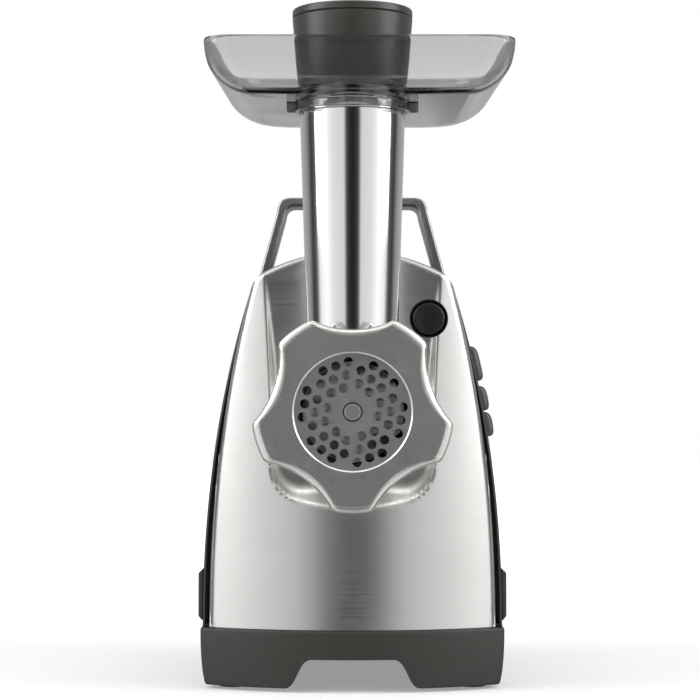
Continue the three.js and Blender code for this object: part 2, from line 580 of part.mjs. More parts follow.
// ---------------------------------------------------------------- base and feet
const BASE_NOSE = FASCIA_NOSE - 2;
const BASE_RADIUS = FASCIA_RADIUS + 2;
function footprint(inset) {
  const half = BASE_HALF_WIDTH - inset;
  const radius = BASE_RADIUS - inset;
  const centre = at(BASE_NOSE + BASE_RADIUS);
  const spread = Math.asin(half / radius);
  const back = at(COVER_BACK) - inset;
  const corner = BASE_CORNER - inset;
  const shape = new THREE.Shape();
  shape.absarc(0, centre, radius, -Math.PI / 2 - spread, -Math.PI / 2 + spread, false);
  shape.lineTo(half, back - corner);
  shape.absarc(half - corner, back - corner, corner, 0, Math.PI / 2, false);
  shape.absarc(corner - half, back - corner, corner, Math.PI / 2, Math.PI, false);
  return shape;
}
const feet = [];
for (const [end, depth] of [["front", HOUSING_FRONT + 12], ["rear", HOUSING_BACK - 6]]) {
  for (const [side, sign] of [["left", -1], ["right", 1]]) {
    feet.push({ name: `foot_${end}_${side}`, x: sign * (BASE_HALF_WIDTH - FOOT_INSET), depth });
  }
}
{
  const ceiling = BASE_HEIGHT - BASE_WALL;
  let shell = plan(footprint(0), BASE_LIFT, BASE_HEIGHT, 5);
  shell = cut(shell, plan(footprint(BASE_WALL), BASE_LIFT - 1, ceiling, 5));
  const arch = new THREE.Shape().moveTo(-ARCH_HALF_FOOT, 0);
  const bend = ARCH_HALF_FOOT - 7;
  arch.bezierCurveTo(-bend, 0, -bend, ARCH_HEIGHT, -ARCH_HALF_TOP, ARCH_HEIGHT);
  arch.lineTo(ARCH_HALF_TOP, ARCH_HEIGHT);
  arch.bezierCurveTo(bend, ARCH_HEIGHT, bend, 0, ARCH_HALF_FOOT, 0);
  shell = cut(shell, slab(arch, BASE_NOSE - 5, BASE_NOSE + 22));
  const studLength = 12;
  for (const { x, depth } of feet) {
    shell = join(shell, post(FOOT_RADIUS, BASE_LIFT + 1, ceiling + 1, x, depth, 16));
    shell = cut(shell, post(FOOT_STUD + GAP, 0, BASE_LIFT + studLength + 2, x, depth, 16));
  }
  for (const [x, d] of baseScrews) {
    shell = cut(shell, post(SCREW_HOLE, ceiling - 1, BASE_HEIGHT + 1, x, d, 16));
  }
  add("base_pan", shell, DARK);
  const pad = BASE_LIFT + 1 - GAP;
  const stud = BASE_LIFT + studLength;
  const foot = [[0, 0], [FOOT_RADIUS, 0], [FOOT_RADIUS, pad], [FOOT_STUD, pad], [FOOT_STUD, stud], [0, stud]];
  for (const { name, x, depth } of feet) add(name, upright(foot, x, depth, 12), RUBBER);
  baseScrews.forEach(([x, d], i) => {
    const top = ceiling - GAP;
    const screw = [[0, top - 2.4], [SCREW_HEAD, top - 2.4], [SCREW_HEAD, top], [SCREW_RADIUS, top]];
    screw.push([SCREW_RADIUS, FOOT_Z + HOUSING_WALL + 5], [0, FOOT_Z + HOUSING_WALL + 5]);
    add(`base_screw_${i + 1}`, upright(screw, x, d, 12), STEEL);
  });
}

// ---------------------------------------------------------------- carry handle and vent covers
{
  const slope = (BODY_TOP_HALF_WIDTH + 0.7 - HANDLE_HALF_TOP) / (HANDLE_TOP_Z - HANDLE_CORNER - SHOULDER_Z);
  const foot = SHOULDER_Z - SHOULDER_RADIUS * 0.75;
  const band = (inset) => {
    const top = HANDLE_TOP_Z - inset;
    const corner = HANDLE_CORNER - inset / 2;
    const half = HANDLE_HALF_TOP - inset;
    const low = half + slope * (top - corner - foot);
    const shape = new THREE.Shape().moveTo(-low, foot - inset);
    shape.lineTo(-half, top - corner);
    shape.quadraticCurveTo(-half + slope, top, -half + corner, top);
    shape.lineTo(half - corner, top);
    shape.quadraticCurveTo(half - slope, top, half, top - corner);
    shape.lineTo(low, foot - inset);
    return shape;
  };
  const back = HANDLE_FRONT + HANDLE_DEPTH;
  const loop = cut(slab(band(0), HANDLE_FRONT, back), slab(band(HANDLE_BAND), HANDLE_FRONT - 1, back + 1));
  const seat = slab(outline(BODY_HALF_WIDTH, -GAP), HANDLE_FRONT - 1, back + 1);
  add("carry_handle", cut(loop, seat), STEEL);
}
for (const [name, side] of [["vent_cover_left", -1], ["vent_cover_right", 1]]) {
  const edge = OVERALL_HALF_WIDTH;
  const pairs = [[halfWidth(VENT_LOW) + GAP, VENT_LOW], [edge, VENT_LOW + 2.5], [edge, VENT_HIGH - 2.5]];
  pairs.push([halfWidth(VENT_HIGH) + GAP, VENT_HIGH]);
  let cover = slab(polygon(pairs.map(([x, z]) => [side * x, z])), VENT_FRONT, VENT_BACK);
  for (let d = VENT_FRONT + 12; d < VENT_BACK - 12; d += VENT_PITCH) {
    const x = side * edge;
    cover = cut(cover, block([x - 6, d, VENT_LOW + 6], [x + 6, d + 4, VENT_HIGH - 6]));
  }
  add(name, cover, DARK);
}

// ---------------------------------------------------------------- dock, release button and latch pin
// A wedge of a ring, between two angles, used for the bayonet lugs.
function lug(inner, outer, centre, width, d0, d1) {
  const STEPS = 4;
  const points = [];
  for (let i = 0; i <= STEPS; i += 1) points.push(polar(outer, centre - width / 2 + (width * i) / STEPS));
  for (let i = STEPS; i >= 0; i -= 1) points.push(polar(inner, centre - width / 2 + (width * i) / STEPS));
  return slab(polygon(points), d0, d1).translate([0, 0, AXIS_Z]);
}
const latchAt = polar(BARREL_OUTER + LUG_REACH / 2, LATCH_ANGLE);
{
  const lip = POCKET_FLOOR + FASCIA_WALL + GAP;
  let socket = join(ring(DOCK_BORE, DOCK_RADIUS, DOCK_FRONT, DOCK_BACK, 0, AXIS_Z, 28),
    ring(DOCK_BORE, DOCK_RADIUS + 3, lip, lip + 3, 0, AXIS_Z, 28),
    rod(DOCK_RADIUS, DOCK_FLOOR, DOCK_BACK, 0, AXIS_Z, 28));
  for (const angle of LUG_CENTRES) {
    const back = DOCK_FRONT + DOCK_LUG_LENGTH;
    socket = join(socket, lug(BARREL_OUTER + PLAY, DOCK_BORE + 1, angle, LUG_ANGLE, DOCK_FRONT, back));
  }
  const [x, z] = latchAt;
  socket = cut(socket, rod(SHAFT_RADIUS + 2.5, DOCK_FLOOR - 1, DOCK_BACK + 1),
    rod(LATCH_RADIUS + PLAY, DOCK_FLOOR - 1, DOCK_BACK + 1, x, AXIS_Z + z, 16));
  add("dock_socket", socket, BLACK);
  const tip = LUG_FRONT + LUG_THICKNESS - 2.2;
  const end = GEARBOX_FRONT - 6;
  const pin = [[0, tip], [LATCH_RADIUS - 0.6, tip], [LATCH_RADIUS, tip + 0.6], [LATCH_RADIUS, end], [0, end]];
  add("latch_pin", turned(pin, x, AXIS_Z + z, 16), STEEL);
}
{
  const r = RELEASE_RADIUS;
  const cap = [[0, RELEASE_FRONT], [r - 1.2, RELEASE_FRONT], [r, RELEASE_FRONT + 1.2], [r, RELEASE_BACK]];
  cap.push([2.2, RELEASE_BACK], [2.2, RELEASE_BACK + 5], [0, RELEASE_BACK + 5]);
  add("release_button", turned(cap, RELEASE_X, RELEASE_Z, 24), BLACK);
  const start = new THREE.Vector3(RELEASE_X, at(RELEASE_BACK + 1), RELEASE_Z);
  const end = new THREE.Vector3(RELEASE_X, at(RELEASE_SEAT - 1), RELEASE_Z);
  add("release_spring", coil(start, end, 5, 0.5, 5), STEEL);
  const low = RELEASE_Z - RELEASE_RADIUS;
  const reach = halfWidth(RELEASE_Z + RELEASE_RADIUS) - HOUSING_WALL - GAP;
  const high = RELEASE_Z + RELEASE_RADIUS;
  const plate = block([RELEASE_X - 10, RELEASE_SEAT, low], [reach, RELEASE_SEAT + 2.4, high]);
  const tab = block([reach - 3, RELEASE_SEAT, low], [reach, RELEASE_SEAT + 14, high]);
  const hole = rod(2.8, RELEASE_SEAT - 1, RELEASE_SEAT + 4, RELEASE_X, RELEASE_Z);
  add("release_bracket", cut(join(plate, tab), hole), GREY);
}

// ---------------------------------------------------------------- side buttons and control board
{
  const [stem, lift] = [9, 1]; // half the stem's depth, and how far it stays inside the button's height
  const boardBack = halfWidth(BUTTON_SPANS.power_button[1]) - SIDE_BUTTON_STEM - SPRING_ROOM;
  const boardFront = boardBack - BOARD_THICKNESS;
  const middle = SIDE_BUTTON_FRONT + SIDE_BUTTON_WIDTH / 2;
  for (const [name, [low, high]] of Object.entries(BUTTON_SPANS)) {
    const z = (low + high) / 2;
    const inner = halfWidth(high) - SIDE_BUTTON_STEM;
    let button = sideBlock(low, high, SIDE_BUTTON_FRONT, BUTTON_BACK, -7, SIDE_BUTTON_PROUD);
    const root = halfWidth(low) - 6;
    button = join(button, block([inner, middle - stem, low + lift], [root, middle + stem, high - lift]));
    add(name, button, BUTTON);
    const start = new THREE.Vector3(inner - 0.9, at(middle), z);
    const end = new THREE.Vector3(boardBack + 0.9, at(middle), z);
    add(name.replace("button", "spring"), coil(start, end, 3, 0.4, 4), STEEL);
  }
  const low = BUTTON_SPANS.reverse_button[0] - 5;
  const high = BUTTON_SPANS.power_button[1] + 4;
  let board = block([boardFront, SIDE_BUTTON_FRONT - 3, low], [boardBack, BUTTON_BACK + BOARD_TAIL, high]);
  // Components on the board: height above its foot, depth behind the buttons, length, width and thickness.
  const parts = [[6, 17, 7, 14, 4.5], [6, 27, 5, 10, 3.5], [30, 30, 6, 12, 6], [22, 18, 3.5, 7, 3.5]];
  for (const [up, behind, long, wide, thick] of parts) {
    const [d, z] = [BUTTON_BACK + behind, low + up];
    board = join(board, block([boardFront - thick, d, z], [boardFront + 0.5, d + long, z + wide]));
  }
  add("control_board", board, BOARD);
}

// ---------------------------------------------------------------- gear train
function gear(teeth, module, phase, d0, d1, [x, z]) {
  const pitch = (teeth * module) / 2;
  const half = ((Math.PI * module - 2 * BACKLASH) / 4 / pitch) * (180 / Math.PI);
  const [root, tip] = [pitch - 1.2 * module, pitch + 0.9 * module];
  const points = [];
  for (let i = 0; i < teeth; i += 1) {
    const middle = phase + (360 * i) / teeth;
    points.push(polar(root, middle - 1.3 * half), polar(tip, middle - 0.5 * half));
    points.push(polar(tip, middle + 0.5 * half), polar(root, middle + 1.3 * half));
  }
  return slab(polygon(points), d0, d1).translate([x, 0, z]);
}
const tipRadius = (teeth, module) => (teeth * module) / 2 + 0.9 * module;
const mate = (angle) => angle + 180 + 180 / TEETH_SMALL; // puts a gap of the small gear at the mesh

const SHAFT_STEP = THREE_FRONT + GEAR_WIDTH + 1;
function hexagon(radius, d0, d1) {
  const corners = [0, 60, 120, 180, 240, 300].map((angle) => polar(radius, angle));
  return slab(polygon(corners), d0, d1).translate([0, 0, AXIS_Z]);
}
{
  const bore = (r, [x, z]) => rod(r, GEARBOX_FRONT - 30, CASE_BACK + 30, x, z);
  const axleHole = AXLE_RADIUS + GAP;
  const backOfThree = THREE_FRONT + GEAR_WIDTH;
  const output = gear(TEETH_BIG, MODULE_THREE, TRAIN_ANGLES[0], THREE_FRONT, backOfThree, outputAt);
  add("output_gear", cut(output, bore(SHAFT_RADIUS + GAP, outputAt)), NYLON);
  const twoBig = gear(TEETH_BIG, MODULE_TWO, TRAIN_ANGLES[1], TWO_FRONT, TWO_FRONT + GEAR_WIDTH, twoAt);
  const twoSmall = gear(TEETH_SMALL, MODULE_THREE, mate(TRAIN_ANGLES[0]), THREE_FRONT, TWO_FRONT + 1, twoAt);
  add("gear_two", cut(join(twoBig, twoSmall), bore(axleHole, twoAt)), NYLON);
  const oneBig = gear(TEETH_FIRST, MODULE_ONE, TRAIN_ANGLES[2], ONE_FRONT, ONE_FRONT + GEAR_WIDTH, oneAt);
  const oneSmall = gear(TEETH_SMALL, MODULE_TWO, mate(TRAIN_ANGLES[1]), TWO_FRONT, ONE_FRONT + 1, oneAt);
  add("gear_one", cut(join(oneBig, oneSmall), bore(axleHole, oneAt)), NYLON);
  for (const [name, [x, z]] of [["axle_two", twoAt], ["axle_one", oneAt]]) {
    add(name, rod(AXLE_RADIUS, GEARBOX_FRONT + GAP, CASE_BACK - GAP, x, z, 16), STEEL);
  }

  const seats = [[outputAt, tipRadius(TEETH_BIG, MODULE_THREE)], [twoAt, tipRadius(TEETH_BIG, MODULE_TWO)],
    [oneAt, tipRadius(TEETH_FIRST, MODULE_ONE)], [motorAt, tipRadius(TEETH_SMALL, MODULE_ONE) + 1]];
  const rooms = (grow, d0, d1) =>
    join(...seats.map(([[x, z], r]) => rod(r + TRAIN_CLEARANCE + grow, d0, d1, x, z, 20)));
  const coverBack = GEARBOX_FRONT + GEARBOX_WALL;
  const bushRadius = SHAFT_RADIUS + PLAY + BUSH_WALL;
  const tailBush = SHAFT_TAIL_RADIUS + PLAY + BUSH_WALL;
  const axleHoles = [bore(axleHole, twoAt), bore(axleHole, oneAt)];
  const cover = rooms(GEARBOX_WALL, GEARBOX_FRONT, coverBack);
  add("gearbox_cover", cut(cover, bore(bushRadius + GAP, outputAt), ...axleHoles), GREY);
  const box = cut(rooms(GEARBOX_WALL, coverBack + GAP, CASE_BACK), rooms(0, coverBack - 1, CASE_INSIDE));
  const caseHoles = [bore(tailBush + GAP, outputAt), bore(MOTOR_SHAFT + PLAY, motorAt), ...axleHoles];
  add("gearbox_case", cut(box, ...caseHoles), GREY);
  const bushFront = ring(SHAFT_RADIUS + PLAY, bushRadius, GEARBOX_FRONT - 1, coverBack + 0.8, ...outputAt);
  add("bush_front", bushFront, BRONZE);
  const bushRear = ring(SHAFT_TAIL_RADIUS + PLAY, tailBush, CASE_INSIDE - 0.5, CASE_BACK + 1, ...outputAt);
  add("bush_rear", bushRear, BRONZE);

  const profile = [[0, SHAFT_FRONT], [SHAFT_RADIUS, SHAFT_FRONT], [SHAFT_RADIUS, SHAFT_STEP]];
  profile.push([SHAFT_TAIL_RADIUS, SHAFT_STEP], [SHAFT_TAIL_RADIUS, CASE_BACK + 1.5], [0, CASE_BACK + 1.5]);
  const socket = hexagon(COUPLING_HEX + PLAY, SHAFT_FRONT - 1, SHAFT_FRONT + COUPLING_LENGTH + 1);
  add("output_shaft", cut(turned(profile), socket), STEEL);
}

// ---------------------------------------------------------------- motor
const STATOR_FRONT = MOTOR_FRONT + BRACKET_LENGTH + GAP;
const STATOR_BACK = STATOR_FRONT + STATOR_LENGTH;
const REAR_BRACKET = STATOR_BACK + GAP;
const REAR_BRACKET_BACK = REAR_BRACKET + BRUSH_ROOM;
{
  const [x, z] = motorAt;
  const hole = MOTOR_SHAFT + PLAY;
  const inner = MOTOR_RADIUS - BRACKET_WALL;
  const bottom = MOTOR_FRONT + BRACKET_PLATE;
  add("motor_stator", ring(ROTOR_RADIUS + 1, MOTOR_RADIUS, STATOR_FRONT, STATOR_BACK, x, z), STEEL);
  const front = [[hole, MOTOR_FRONT], [MOTOR_RADIUS, MOTOR_FRONT], [MOTOR_RADIUS, STATOR_FRONT - GAP]];
  front.push([inner, STATOR_FRONT - GAP], [inner, bottom], [hole, bottom], [hole, MOTOR_FRONT]);
  add("motor_bracket_front", turned(front, x, z), CAST);
  const end = REAR_BRACKET_BACK;
  const rear = [[hole, end], [MOTOR_RADIUS, end], [MOTOR_RADIUS, REAR_BRACKET], [inner, REAR_BRACKET]];
  rear.push([inner, end - BRACKET_PLATE], [hole, end - BRACKET_PLATE], [hole, end]);
  add("motor_bracket_rear", turned(rear, x, z), CAST);
  const nose = MOTOR_SHAFT * 0.55;
  const commutator = COMMUTATOR_RADIUS;
  const fanFront = end + 5;
  const brushEnd = end - BRACKET_PLATE - 2;
  const shaft = [[0, ONE_FRONT - 1], [nose, ONE_FRONT - 1], [nose, CASE_INSIDE], [MOTOR_SHAFT, CASE_INSIDE]];
  shaft.push([MOTOR_SHAFT, STATOR_FRONT - 3], [14, STATOR_FRONT - 1], [ROTOR_RADIUS, STATOR_FRONT + 2]);
  shaft.push([ROTOR_RADIUS, STATOR_BACK - 2], [13, STATOR_BACK + 2], [commutator, STATOR_BACK + 3]);
  shaft.push([commutator, brushEnd], [MOTOR_SHAFT, brushEnd], [MOTOR_SHAFT, fanFront + FAN_WIDTH + 3]);
  shaft.push([0, fanFront + FAN_WIDTH + 3]);
  add("armature", turned(shaft, x, z), STEEL);
  const pinionBack = ONE_FRONT + GEAR_WIDTH;
  const pinion = gear(TEETH_SMALL, MODULE_ONE, mate(TRAIN_ANGLES[2]), ONE_FRONT, pinionBack, motorAt);
  add("motor_pinion", cut(pinion, rod(nose + GAP, ONE_FRONT - 2, CASE_BACK, x, z, 16)), STEEL);
  for (const [name, sign] of [["brush_left", -1], ["brush_right", 1]]) {
    const [a, b] = [sign * (commutator + PLAY), sign * (inner - 2)];
    const d = STATOR_BACK + 6;
    add(name, block([x + Math.min(a, b), d, z - 3], [x + Math.max(a, b), d + 6, z + 3]), CARBON);
  }
  const hub = rod(MOTOR_SHAFT + 4, fanFront, fanFront + FAN_WIDTH, x, z);
  let fan = join(rod(FAN_RADIUS, fanFront, fanFront + 2, x, z), hub);
  for (let angle = 0; angle < 360; angle += 36) {
    const blade = block([MOTOR_SHAFT + 3, fanFront, -0.8], [FAN_RADIUS - 0.5, fanFront + FAN_WIDTH, 0.8]);
    fan = join(fan, blade.rotate([0, angle, 0]).translate([x, 0, z]));
  }
  add("motor_fan", cut(fan, rod(MOTOR_SHAFT + GAP, fanFront - 1, fanFront + FAN_WIDTH + 1, x, z)), BLACK);
}

// ---------------------------------------------------------------- grinding head
const PLATE_FRONT = RING_LIP + GAP;
const PLATE_BACK = PLATE_FRONT + PLATE_THICKNESS;
const KNIFE_FRONT = PLATE_BACK + GAP;
const KNIFE_BACK = KNIFE_FRONT + KNIFE_THICKNESS;
const tubeRadius = (z) => TUBE_FOOT_RADIUS + (TUBE_FLARE * (z - TUBE_FOOT)) / TUBE_LENGTH;
{
  const seat = PLATE_BACK + GAP;
  const profile = [[PLATE_RADIUS + GAP, BARREL_FRONT], [BARREL_FLANGE, BARREL_FRONT]];
  profile.push([BARREL_FLANGE, RIM_BACK], [BARREL_OUTER, RIM_BACK], [BARREL_OUTER, BARREL_BACK]);
  profile.push([DRIVE_HOLE, BARREL_BACK]);
  profile.push([DRIVE_HOLE, BARREL_BACK - LUG_THICKNESS], [BARREL_BORE, BARREL_BACK - LUG_THICKNESS]);
  profile.push([BARREL_BORE, seat], [PLATE_RADIUS + GAP, seat], [PLATE_RADIUS + GAP, BARREL_FRONT]);
  const neckTop = TUBE_FOOT - GAP + NECK_LAP;
  const room = rod(BARREL_OUTER - 1, seat, BARREL_BACK - LUG_THICKNESS);
  const neck = cut(post(NECK_RADIUS, AXIS_Z + 10, neckTop), room);
  let barrel = join(turned(profile, 0, AXIS_Z, 28), neck);
  barrel = cut(barrel, post(TUBE_FOOT_RADIUS - TUBE_WALL - PLAY, AXIS_Z + 5, neckTop + 1));
  barrel = cut(barrel, post(tubeRadius(neckTop) + GAP, TUBE_FOOT - GAP, neckTop + 1));
  for (const angle of LUG_CENTRES) {
    const reach = BARREL_OUTER + LUG_REACH;
    barrel = join(barrel, lug(BARREL_OUTER - 1, reach, angle, LUG_ANGLE, LUG_FRONT, BARREL_BACK));
  }
  // The latch pin drops into a notch in one lug, and a ramp beside it pushes the pin back as the head turns.
  const depth = LUG_THICKNESS - 1.5;
  const ramp = LUG_ANGLE * 0.4;
  const notch = new THREE.ExtrudeGeometry(polygon([[3, 0.5], [3, -depth], [-3, -depth], [-3 - ramp, 0.5]]),
    { depth: 10, bevelEnabled: false });
  const [rx, rz] = polar(1, LATCH_ANGLE);
  const basis = new THREE.Matrix4().makeBasis(
    new THREE.Vector3(-rz, 0, rx), new THREE.Vector3(0, 1, 0), new THREE.Vector3(rx, 0, rz));
  const near = BARREL_OUTER - 0.5;
  basis.setPosition(near * rx, at(BARREL_BACK), AXIS_Z + near * rz);
  add("head_barrel", cut(barrel, solid(notch.applyMatrix4(basis))), CAST);
}
{
  const [low, high] = [TUBE_FOOT_RADIUS, TUBE_TOP_RADIUS];
  const profile = [[low - TUBE_WALL, TUBE_FOOT], [low, TUBE_FOOT], [high, TUBE_TOP]];
  profile.push([high - TUBE_WALL, TUBE_TOP], [low - TUBE_WALL, TUBE_FOOT]);
  add("feed_tube", upright(profile, 0, TUBE_DEPTH, 24), POLISHED);
}

// The ring nut: five broad lobes with scallops between them.
{
  const FACE = 11.5; // degrees, half a lobe's face
  const shape = new THREE.Shape();
  const pitch = 360 / LOBES;
  for (let i = 0; i < LOBES; i += 1) {
    const middle = 270 + pitch * i;
    shape.absarc(0, 0, RING_LOBE, rad(middle - FACE), rad(middle + FACE), false);
    const valley = 2 * RING_SCALLOP - RING_LOBE * Math.cos(rad(pitch / 2 - FACE));
    shape.quadraticCurveTo(...polar(valley, middle + pitch / 2), ...polar(RING_LOBE, middle + pitch - FACE));
  }
  const edge = 2.5;
  const bevel = { bevelThickness: edge, bevelSize: edge, bevelOffset: -edge, bevelSegments: 1 };
  const options = { depth: RING_LENGTH - 2 * edge, ...bevel, curveSegments: 4 };
  const body = new THREE.ExtrudeGeometry(shape, options);
  const nut = solid(body.rotateX(Math.PI / 2).translate(0, at(RING_LENGTH) - edge, AXIS_Z));
  const thread = rod(BARREL_FLANGE + GAP, RING_LIP, RING_LENGTH + 1, 0, AXIS_Z, 28);
  add("ring_nut", cut(nut, thread, rod(RING_OPENING, -1, RING_LIP + 1, 0, AXIS_Z, 28)), CAST);
}

// The cutting plate: six sectors of eight holes on a triangular lattice, and a hole for the auger's pin.
{
  const [startX, startZ] = polar(PLATE_RADIUS - 6.2, 94.9);
  const rows = [3, 3, 2];
  let plate = rod(PLATE_RADIUS, PLATE_FRONT, PLATE_BACK, 0, AXIS_Z, 28);
  for (let sector = 0; sector < 360; sector += 60) {
    rows.forEach((count, row) => {
      for (let i = 0; i < count; i += 1) {
        const [ax, az] = polar(HOLE_PITCH * i, 200);
        const [bx, bz] = polar(HOLE_PITCH * row, 260);
        const hole = new THREE.Vector2(startX + ax + bx, startZ + az + bz);
        hole.rotateAround(new THREE.Vector2(), rad(sector));
        plate = cut(plate, rod(PLATE_HOLE, PLATE_FRONT - 1, PLATE_BACK + 1, hole.x, AXIS_Z + hole.y, 6));
      }
    });
  }
  add("cutting_plate", cut(plate, rod(PIN_RADIUS + GAP, PLATE_FRONT - 1, PLATE_BACK + 1)), STEEL);
}

// The four-bladed knife on the auger's square, the auger, its washer and its plastic drive coupling.
const AUGER_FRONT = KNIFE_BACK + GAP;
const WASHER_BACK = BARREL_BACK - LUG_THICKNESS - GAP;
const AUGER_BACK = WASHER_BACK - WASHER - GAP;
{
  let knife = rod(11, KNIFE_FRONT, KNIFE_BACK);
  const reach = BARREL_BORE - 1.2;
  for (let angle = 10; angle < 360; angle += 90) {
    const corners = [[4, -9], [reach * 0.98, -4.5], [reach, 1.5], [4, 5]];
    const blade = polygon(corners.map(([x, z]) => {
      const point = new THREE.Vector2(x, z).rotateAround(new THREE.Vector2(), rad(angle));
      return [point.x, point.y];
    }));
    knife = join(knife, slab(blade, KNIFE_FRONT, KNIFE_BACK).translate([0, 0, AXIS_Z]));
  }
  const hole = KNIFE_SQUARE + GAP;
  const square = block([-hole, KNIFE_FRONT - 1, AXIS_Z - hole], [hole, KNIFE_BACK + 1, AXIS_Z + hole]);
  add("knife", cut(knife, square), STEEL);

  // A turned blank whose surface stands out as one flight that winds along the axis.
  const length = AUGER_BACK - AUGER_FRONT;
  const blank = new THREE.CylinderGeometry(1, 1, length, 20, 27);
  const place = blank.attributes.position;
  const tip = BARREL_BORE - 0.7;
  for (let i = 0; i < place.count; i += 1) {
    const [x, y, z] = [place.getX(i), place.getY(i), place.getZ(i)];
    if (Math.hypot(x, z) < 0.5) continue;
    const angle = Math.atan2(z, x);
    const along = y / length + 0.5;
    const core = AUGER_CORE_FRONT + (AUGER_CORE_BACK - AUGER_CORE_FRONT) * along;
    const flight = THREE.MathUtils.smoothstep(Math.cos(angle), 0.72, 0.92);
    const radius = core + (tip - core) * flight;
    const turn = angle + (2 * Math.PI * length * along) / AUGER_PITCH;
    place.setXYZ(i, radius * Math.cos(turn), y, radius * Math.sin(turn));
  }
  const screw = solid(blank.translate(0, at((AUGER_FRONT + AUGER_BACK) / 2), AXIS_Z));
  const half = KNIFE_SQUARE;
  const drive = block([-half, KNIFE_FRONT + GAP, AXIS_Z - half], [half, AUGER_FRONT + 0.5, AXIS_Z + half]);
  const pin = rod(PIN_RADIUS, RING_LIP + GAP, AUGER_FRONT + 0.5);
  const stub = rod(COUPLING_POST, AUGER_BACK - 1, SHAFT_FRONT + COUPLING_LENGTH - 2, 0, AXIS_Z, 16);
  add("auger", join(screw, drive, pin, stub), CAST);
  const washer = ring(DRIVE_HOLE, BARREL_BORE - 0.8, WASHER_BACK - WASHER, WASHER_BACK);
  add("auger_washer", washer, NYLON);
  const collar = rod(SHAFT_RADIUS - 0.5, AUGER_BACK + GAP, BARREL_BACK - GAP);
  const hex = hexagon(COUPLING_HEX, BARREL_BACK - 1, SHAFT_FRONT + COUPLING_LENGTH);
  const bore = rod(COUPLING_POST + GAP, AUGER_BACK - 1, SHAFT_FRONT + COUPLING_LENGTH + 1, 0, AXIS_Z, 16);
  add("auger_coupling", cut(join(collar, hex), bore), BLACK);
}

// ---------------------------------------------------------------- hopper tray and pusher
{
  const middle = TRAY_FRONT + TRAY_LENGTH / 2;
  // The tray's outline drawn in by inset, filled between two heights, and narrower towards the floor.
  const basin = (inset, low, high) => {
    const front = TRAY_HALF_WIDTH - inset;
    const back = front - TRAY_NARROWING;
    const length = TRAY_LENGTH / 2 - inset;
    const near = TRAY_FRONT_CORNER - inset;
    const far = TRAY_CORNER - inset;
    const shape = new THREE.Shape().moveTo(near - front, -length);
    shape.lineTo(front - near, -length);
    shape.quadraticCurveTo(front, -length, front, near - length);
    shape.lineTo(back, length - far);
    shape.quadraticCurveTo(back, length, back - far, length);
    shape.lineTo(far - back, length);
    shape.quadraticCurveTo(-back, length, -back, length - far);
    shape.lineTo(-front, near - length);
    shape.quadraticCurveTo(-front, -length, near - front, -length);
    const options = { depth: high - low, bevelEnabled: false, curveSegments: 6 };
    const body = new THREE.ExtrudeGeometry(shape, options);
    const place = body.attributes.position;
    for (let i = 0; i < place.count; i += 1) {
      const z = place.getZ(i) + low;
      const drawn = TRAY_FLARE * (1 - (z - TRAY_FLOOR) / TRAY_HEIGHT);
      const [sx, sy] = [1 - drawn / TRAY_HALF_WIDTH, 1 - drawn / (TRAY_LENGTH / 2)];
      place.setXYZ(i, place.getX(i) * sx + TRAY_SHIFT, place.getY(i) * sy + at(middle), z);
    }
    return solid(body);
  };
  const floor = TRAY_FLOOR + TRAY_WALL;
  const collarFoot = TUBE_TOP - COLLAR_HEIGHT;
  const outer = TUBE_TOP_RADIUS + PLAY + COLLAR_WALL;
  const collar = post(outer, collarFoot, TRAY_FLOOR + 1);
  const lip = post(MOUTH + 2.4, floor - 1, floor + TRAY_LIP);
  let tray = join(cut(basin(0, TRAY_FLOOR, TRAY_RIM), basin(TRAY_WALL, floor, TRAY_RIM + 2)), collar, lip);
  for (const side of [-1, 1]) {
    const [a, b] = [side * (outer - 1), side * (outer + 4)];
    const near = [Math.min(a, b), TUBE_DEPTH - 4, collarFoot];
    tray = join(tray, block(near, [Math.max(a, b), TUBE_DEPTH + 4, TRAY_FLOOR + 1]));
  }
  const seatOnTube = post(TUBE_TOP_RADIUS + PLAY, collarFoot - 1, TRAY_FLOOR);
  add("hopper_tray", cut(tray, seatOnTube, post(MOUTH, floor - 9, floor + 9)), SMOKE);

  const seat = floor + TRAY_LIP + GAP;
  const foot = seat - TUBE_LENGTH + PUSHER_SHORT;
  const top = seat + PUSHER_HEAD - PUSHER_CAP_THICKNESS - GAP;
  const stemTop = MOUTH - PLAY - 0.4;
  const stemFoot = tubeRadius(foot) - TUBE_WALL - PLAY - 0.8;
  const wall = PUSHER_WALL;
  const profile = [[0, foot], [stemFoot, foot], [stemTop, seat], [PUSHER_SEAT_RADIUS - 2, seat]];
  profile.push([PUSHER_SEAT_RADIUS, seat + 2], [PUSHER_TOP_RADIUS, top], [PUSHER_TOP_RADIUS - wall, top]);
  profile.push([PUSHER_SEAT_RADIUS - wall, seat + wall + 1], [stemTop - wall, seat + wall]);
  profile.push([stemFoot - wall, foot + wall], [0, foot + wall]);
  add("pusher", upright(profile, 0, TUBE_DEPTH, 24), DARK);
  const plug = PUSHER_TOP_RADIUS - wall - PLAY - 0.5;
  const lid = top + GAP;
  const crown = lid + PUSHER_CAP_THICKNESS;
  const edge = 1.2;
  const cap = [[0, lid - 4], [plug, lid - 4], [plug, lid], [PUSHER_TOP_RADIUS, lid]];
  cap.push([PUSHER_TOP_RADIUS, crown - edge], [PUSHER_TOP_RADIUS - edge, crown], [0, crown]);
  add("pusher_cap", upright(cap, 0, TUBE_DEPTH, 24), DARK);
}

export default grinder;
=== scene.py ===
"""Electric meat grinder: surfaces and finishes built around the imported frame.

X runs to the right as seen from the front, Y runs towards the back and Z is up. The sizes of the pieces are in
millimetres, and a finished mesh is scaled to metres. Lights, camera and finishes are in metres throughout.
"""

import json
import logging
import math
from collections.abc import Iterable, Sequence
from dataclasses import dataclass, field
from enum import Enum

import bmesh
import bpy
from mathutils import Matrix, Vector


